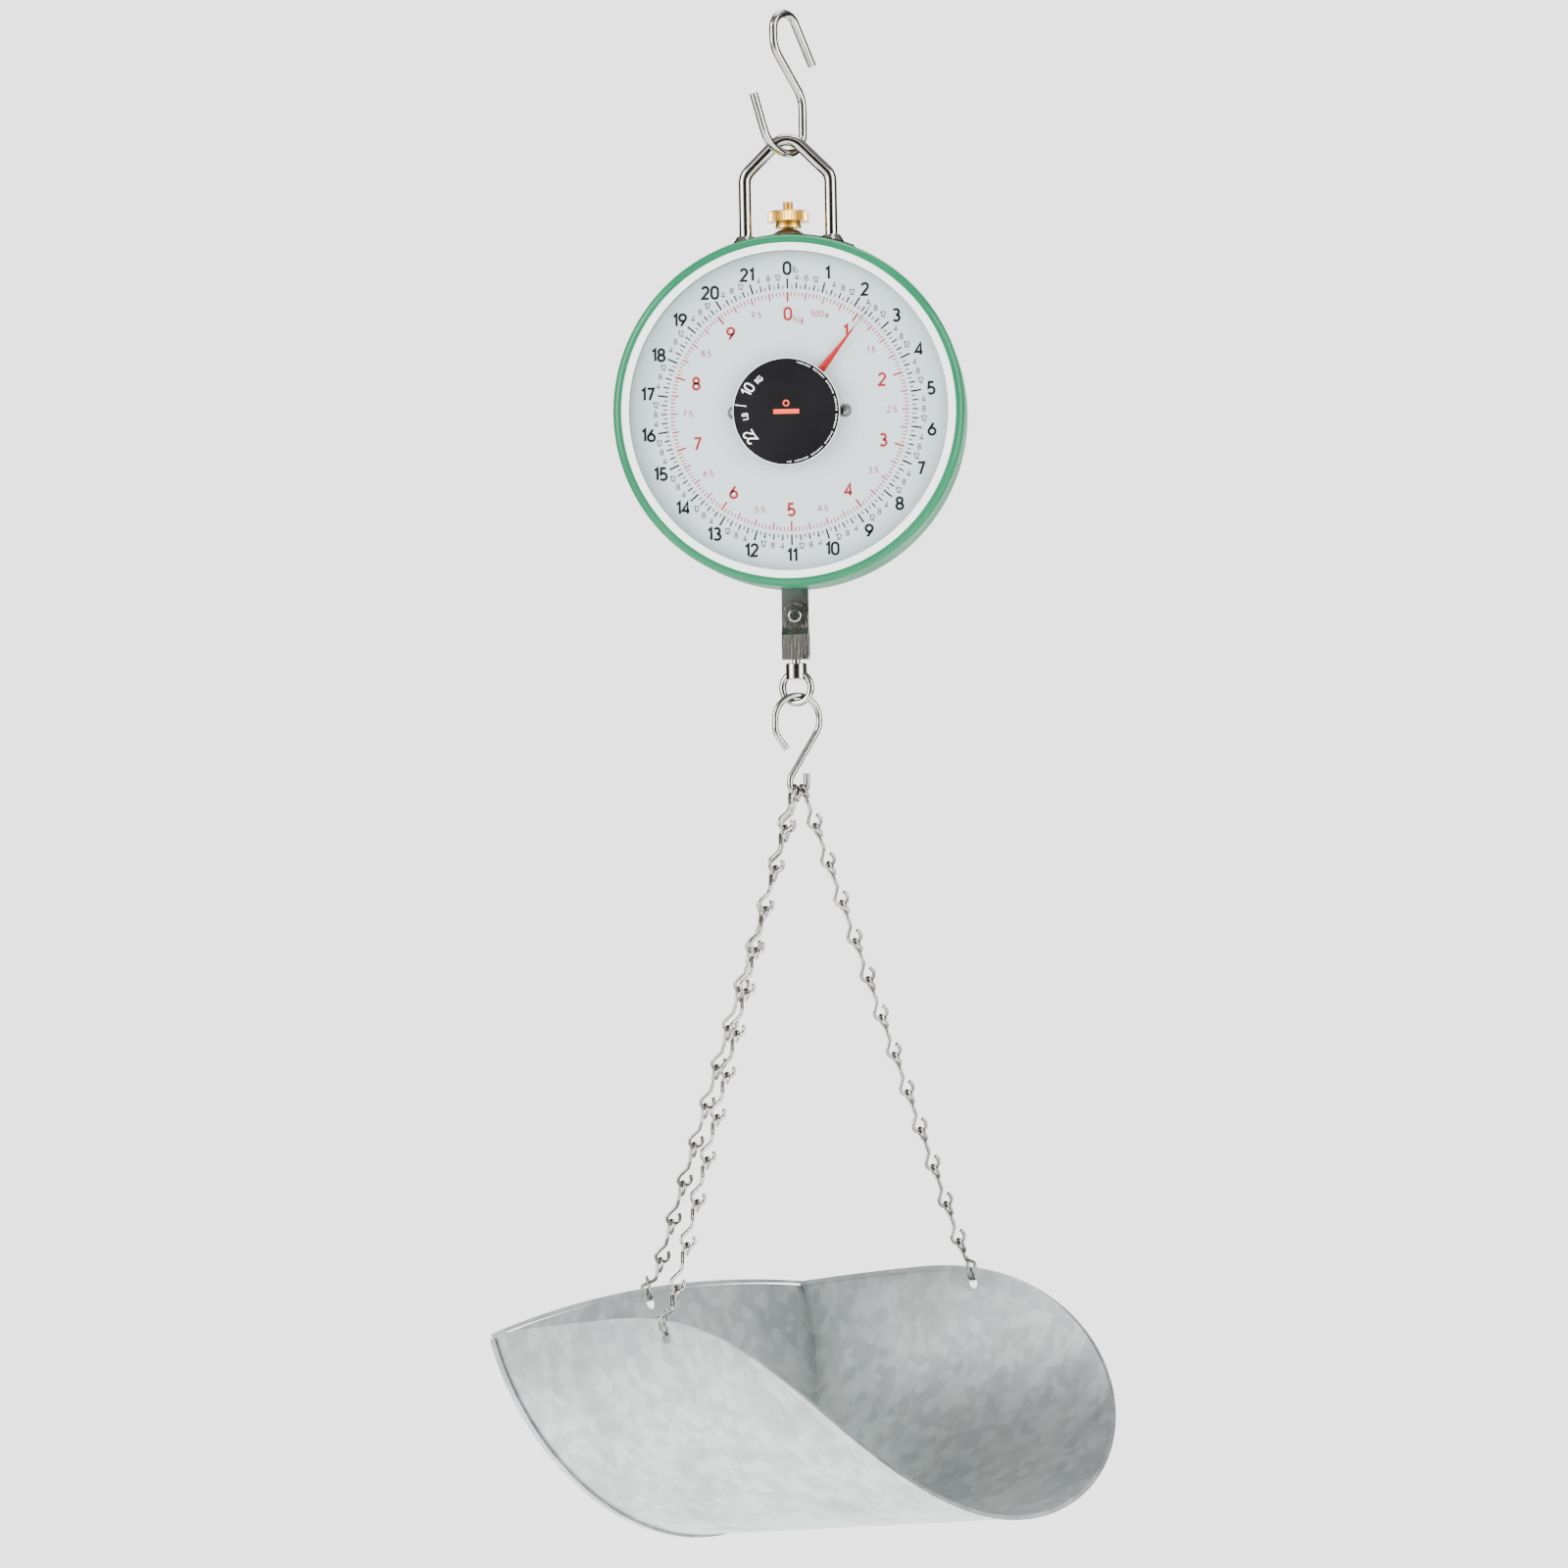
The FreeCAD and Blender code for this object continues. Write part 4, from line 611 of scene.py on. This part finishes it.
def threadedStud():
    # radius drops by a rounded V once per pitch along z, and the V climbs once per turn; the
    # thread fades out below its length and at the very top
    low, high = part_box("adjuster_rod")
    radius = (high.x - low.x) / 2
    bottom, top = low.z, high.z
    pitch = studPiece["pitch"] * mm
    start = top - studPiece["threadLength"] * mm
    around = 48
    heights = np.concatenate([[bottom, start - pitch], np.arange(start, top, pitch / 8), [top]])
    theta = np.linspace(0, full, around, endpoint=False)
    rows = []
    for z in heights:
        phase = (z / pitch - theta / full) % 1.0
        groove = studPiece["depth"] * mm * (1 - np.abs(2 * phase - 1)) ** 0.8
        groove = groove * (0.0 if z < start else 1.0)
        chamfer = 0.5 * mm if z == top else 0.0
        r = radius - groove - chamfer
        rows.append(np.stack([r * np.cos(theta), r * np.sin(theta), np.full(around, z)], 1))
    return outward(gridPiece("threadedStud", np.array(rows)))


stud = threadedStud()
stud.data.materials.append(looks["brass"])
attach(stud, "adjuster")
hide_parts("adjuster_rod")


# screw recess, drawn as painted shade
recessShadePiece = dict(tilt=0.5, reach=2.1, crown=4.6, width=0.75, proud=0.06, thickness=0.05)


def crossRecess():
    # two short black bars across the screw's head, each bent to follow the head's dome: painted shade
    # standing in for the dark hollow of the cross recess
    low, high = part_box("stirrup_screw")
    cx, cz = (low.x + high.x) / 2, (low.z + high.z) / 2
    points, faces = [], []
    reach, crown = recessShadePiece["reach"] * mm, recessShadePiece["crown"] * mm
    for tilt in (recessShadePiece["tilt"], recessShadePiece["tilt"] + math.pi / 2):
        s, c = math.sin(tilt), math.cos(tilt)
        line = [(reach * k / 6, 0.0) for k in range(-6, 7)]

        def place(u, v, d):
            drop = crown - math.sqrt(crown ** 2 - u * u - v * v)
            return (cx + u * c - v * s, low.y + drop + recessShadePiece["proud"] * mm - d, cz + u * s + v * c)
        ribbon(points, faces, line, recessShadePiece["width"] * mm, place, recessShadePiece["thickness"] * mm)
    return points, faces


recessShadePoints, recessShadeFaces = crossRecess()
# the black ink here is painted shade for the recess hollow, not print
finishInk("screwRecess", recessShadePoints, recessShadeFaces, inkBlack, "load")


# springs
springPiece = dict(wireRadius=0.80, inset=0.02, tail=5.2, tailEnd=0.1, turns=38, stepsPerTurn=20, around=8)


def coilSpring(name, node):
    # a round wire wound on a cylinder: the middle line climbs evenly once per turn, and short
    # straight tails run up and down the axis to the yokes
    low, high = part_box(node)
    cx, cy = (low.x + high.x) / 2, (low.y + high.y) / 2
    wire = springPiece["wireRadius"] * mm
    mean = (high.x - low.x) / 2 - wire - springPiece["inset"] * mm
    bottom, top = low.z + springPiece["tail"] * mm, high.z - springPiece["tail"] * mm
    turns = springPiece["turns"]
    steps = turns * springPiece["stepsPerTurn"]
    t = np.linspace(0, 1, steps + 1)
    angle = full * turns * t
    grip = np.clip(np.minimum(t, 1 - t) * turns * 2, 0, 1)
    r = mean * grip
    line = np.stack([cx + r * np.cos(angle), cy + r * np.sin(angle), bottom + (top - bottom) * t], 1)
    end = springPiece["tailEnd"] * mm
    line = np.concatenate([[[cx, cy, low.z + end]], line, [[cx, cy, high.z - end]]])
    along = np.gradient(line, axis=0)
    along /= np.linalg.norm(along, axis=1, keepdims=True)
    out = np.stack([line[:, 0] - cx, line[:, 1] - cy, np.zeros(len(line))], 1)
    out[np.linalg.norm(out, axis=1) < 1e-6] = (1.0, 0.0, 0.0)
    out -= along * (out * along).sum(1, keepdims=True)
    out /= np.linalg.norm(out, axis=1, keepdims=True)
    other = np.cross(along, out)
    ring = np.linspace(0, full, springPiece["around"], endpoint=False)
    rows = (line[:, None, :] + wire * (np.cos(ring)[None, :, None] * out[:, None, :]
                                       + np.sin(ring)[None, :, None] * other[:, None, :]))
    piece = outward(gridPiece(name, rows))
    piece.data.materials.append(looks["spring_steel"])
    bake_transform(piece)
    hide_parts(node)
    return piece


coilSpring("leftCoil", "left_spring")
coilSpring("rightCoil", "right_spring")
print("stud and springs made")

# stage
stagePiece = dict(floorDrop=1.75, flat=3.0, wall=9.0, height=7.5)


def sweepBackdrop():
    # a round pale floor that curves up into a wall all the way round: flat out to the first
    # radius, then a quarter circle, then straight up
    bend = stagePiece["wall"] - stagePiece["flat"]
    profile = [(0.02, 0.0), (stagePiece["flat"], 0.0)]
    profile += [(stagePiece["flat"] + bend * math.sin(t), bend * (1 - math.cos(t)))
                for t in np.linspace(0, math.pi / 2, 16)[1:]]
    profile.append((stagePiece["wall"], stagePiece["height"]))
    theta = np.linspace(0, full, 96, endpoint=False)
    rows = np.array([np.stack([r * np.cos(theta), r * np.sin(theta),
                               np.full(96, h - stagePiece["floorDrop"])], 1)
                     for r, h in profile])
    return gridPiece("sweepBackdrop", rows, caps=False)


backdrop = sweepBackdrop()
pale, tree, shader = nodeTree("paleFloor")
shader.inputs["Base Color"].default_value = (0.90, 0.90, 0.90, 1.0)
shader.inputs["Roughness"].default_value = 0.9
shader.inputs["Emission Color"].default_value = (1.0, 1.0, 1.0, 1.0)
shader.inputs["Emission Strength"].default_value = 1.1
backdrop.data.materials.append(pale)


def card(name, width, height, place, facing, shade):
    # a flat panel that only shows in reflections
    turn = (Vector(facing) - Vector(place)).to_track_quat("Z", "Y").to_matrix()
    corners = [(-width / 2, -height / 2), (width / 2, -height / 2),
               (width / 2, height / 2), (-width / 2, height / 2)]
    points = [Vector(place) + turn @ Vector((u, v, 0)) for u, v in corners]
    piece = meshPiece(name, points, [(0, 1, 2, 3)])
    material, _, shader = nodeTree(name + "Shade")
    shader.inputs["Base Color"].default_value = (shade, shade, shade, 1.0)
    shader.inputs["Roughness"].default_value = 1.0
    shader.inputs["Specular IOR Level"].default_value = 0.0
    piece.data.materials.append(material)
    piece.visible_camera = False
    piece.visible_shadow = False
    piece.visible_diffuse = False
    piece.visible_transmission = False


aim = (0.0, 0.0, -0.45)
card("darkFront", 3.8, 3.6, (0.25, -3.4, -0.2), aim, 0.01)
card("darkLeft", 3.2, 3.2, (-1.75, 1.05, -0.3), aim, 0.01)
card("darkRight", 3.2, 3.2, (1.75, 1.05, -0.3), aim, 0.01)


def softLight(name, place, size, power, target=aim):
    light = bpy.data.lights.new(name, "AREA")
    light.shape = "RECTANGLE"
    light.size, light.size_y = size
    light.energy = power
    lamp = bpy.data.objects.new(name, light)
    lamp.location = place
    lamp.rotation_mode = "QUATERNION"
    lamp.rotation_quaternion = (Vector(target) - Vector(place)).to_track_quat("-Z", "Y")
    lamp.visible_camera = False
    bpy.context.scene.collection.objects.link(lamp)


softLight("keyLight", (-2.7, -1.9, 0.7), (1.5, 2.8), 210.0)
softLight("fillLight", (2.7, -1.7, 0.4), (1.4, 2.8), 140.0)
softLight("topLight", (0.2, 0.4, 2.6), (2.2, 2.2), 110.0)
softLight("backLeft", (-2.2, 2.2, 0.3), (1.2, 2.4), 50.0)
softLight("backRight", (2.4, 2.0, 0.3), (1.2, 2.4), 50.0)

world = bpy.data.worlds.new("studio")
world.use_nodes = True
world.node_tree.nodes["Background"].inputs["Color"].default_value = (1.0, 1.0, 1.0, 1.0)
world.node_tree.nodes["Background"].inputs["Strength"].default_value = 0.4
bpy.context.scene.world = world

# camera
cameraPiece = dict(distance=2.6, height=-0.4298, azimuth=4.0, roll=1.035, left=0.0081, lens=106.36)
a = math.radians(cameraPiece["azimuth"])
right = Vector((math.cos(a), math.sin(a), 0.0))
back = Vector((math.sin(a), -math.cos(a), 0.0))
up = Vector((0.0, 0.0, 1.0))
camera = bpy.data.objects.new("camera", bpy.data.cameras.new("camera"))
camera.data.sensor_width = 36.0
camera.data.lens = cameraPiece["lens"]
camera.data.clip_start = 0.1
camera.data.clip_end = 60.0
camera.location = back * cameraPiece["distance"] - right * cameraPiece["left"] + up * cameraPiece["height"]
facing = Matrix((right, up, back)).transposed()
camera.rotation_mode = "QUATERNION"
rolled = facing @ Matrix.Rotation(-math.radians(cameraPiece["roll"]), 3, "Z")
camera.rotation_quaternion = rolled.to_quaternion()
bpy.context.scene.collection.objects.link(camera)
bpy.context.scene.camera = camera
print("stage, lights and camera set")
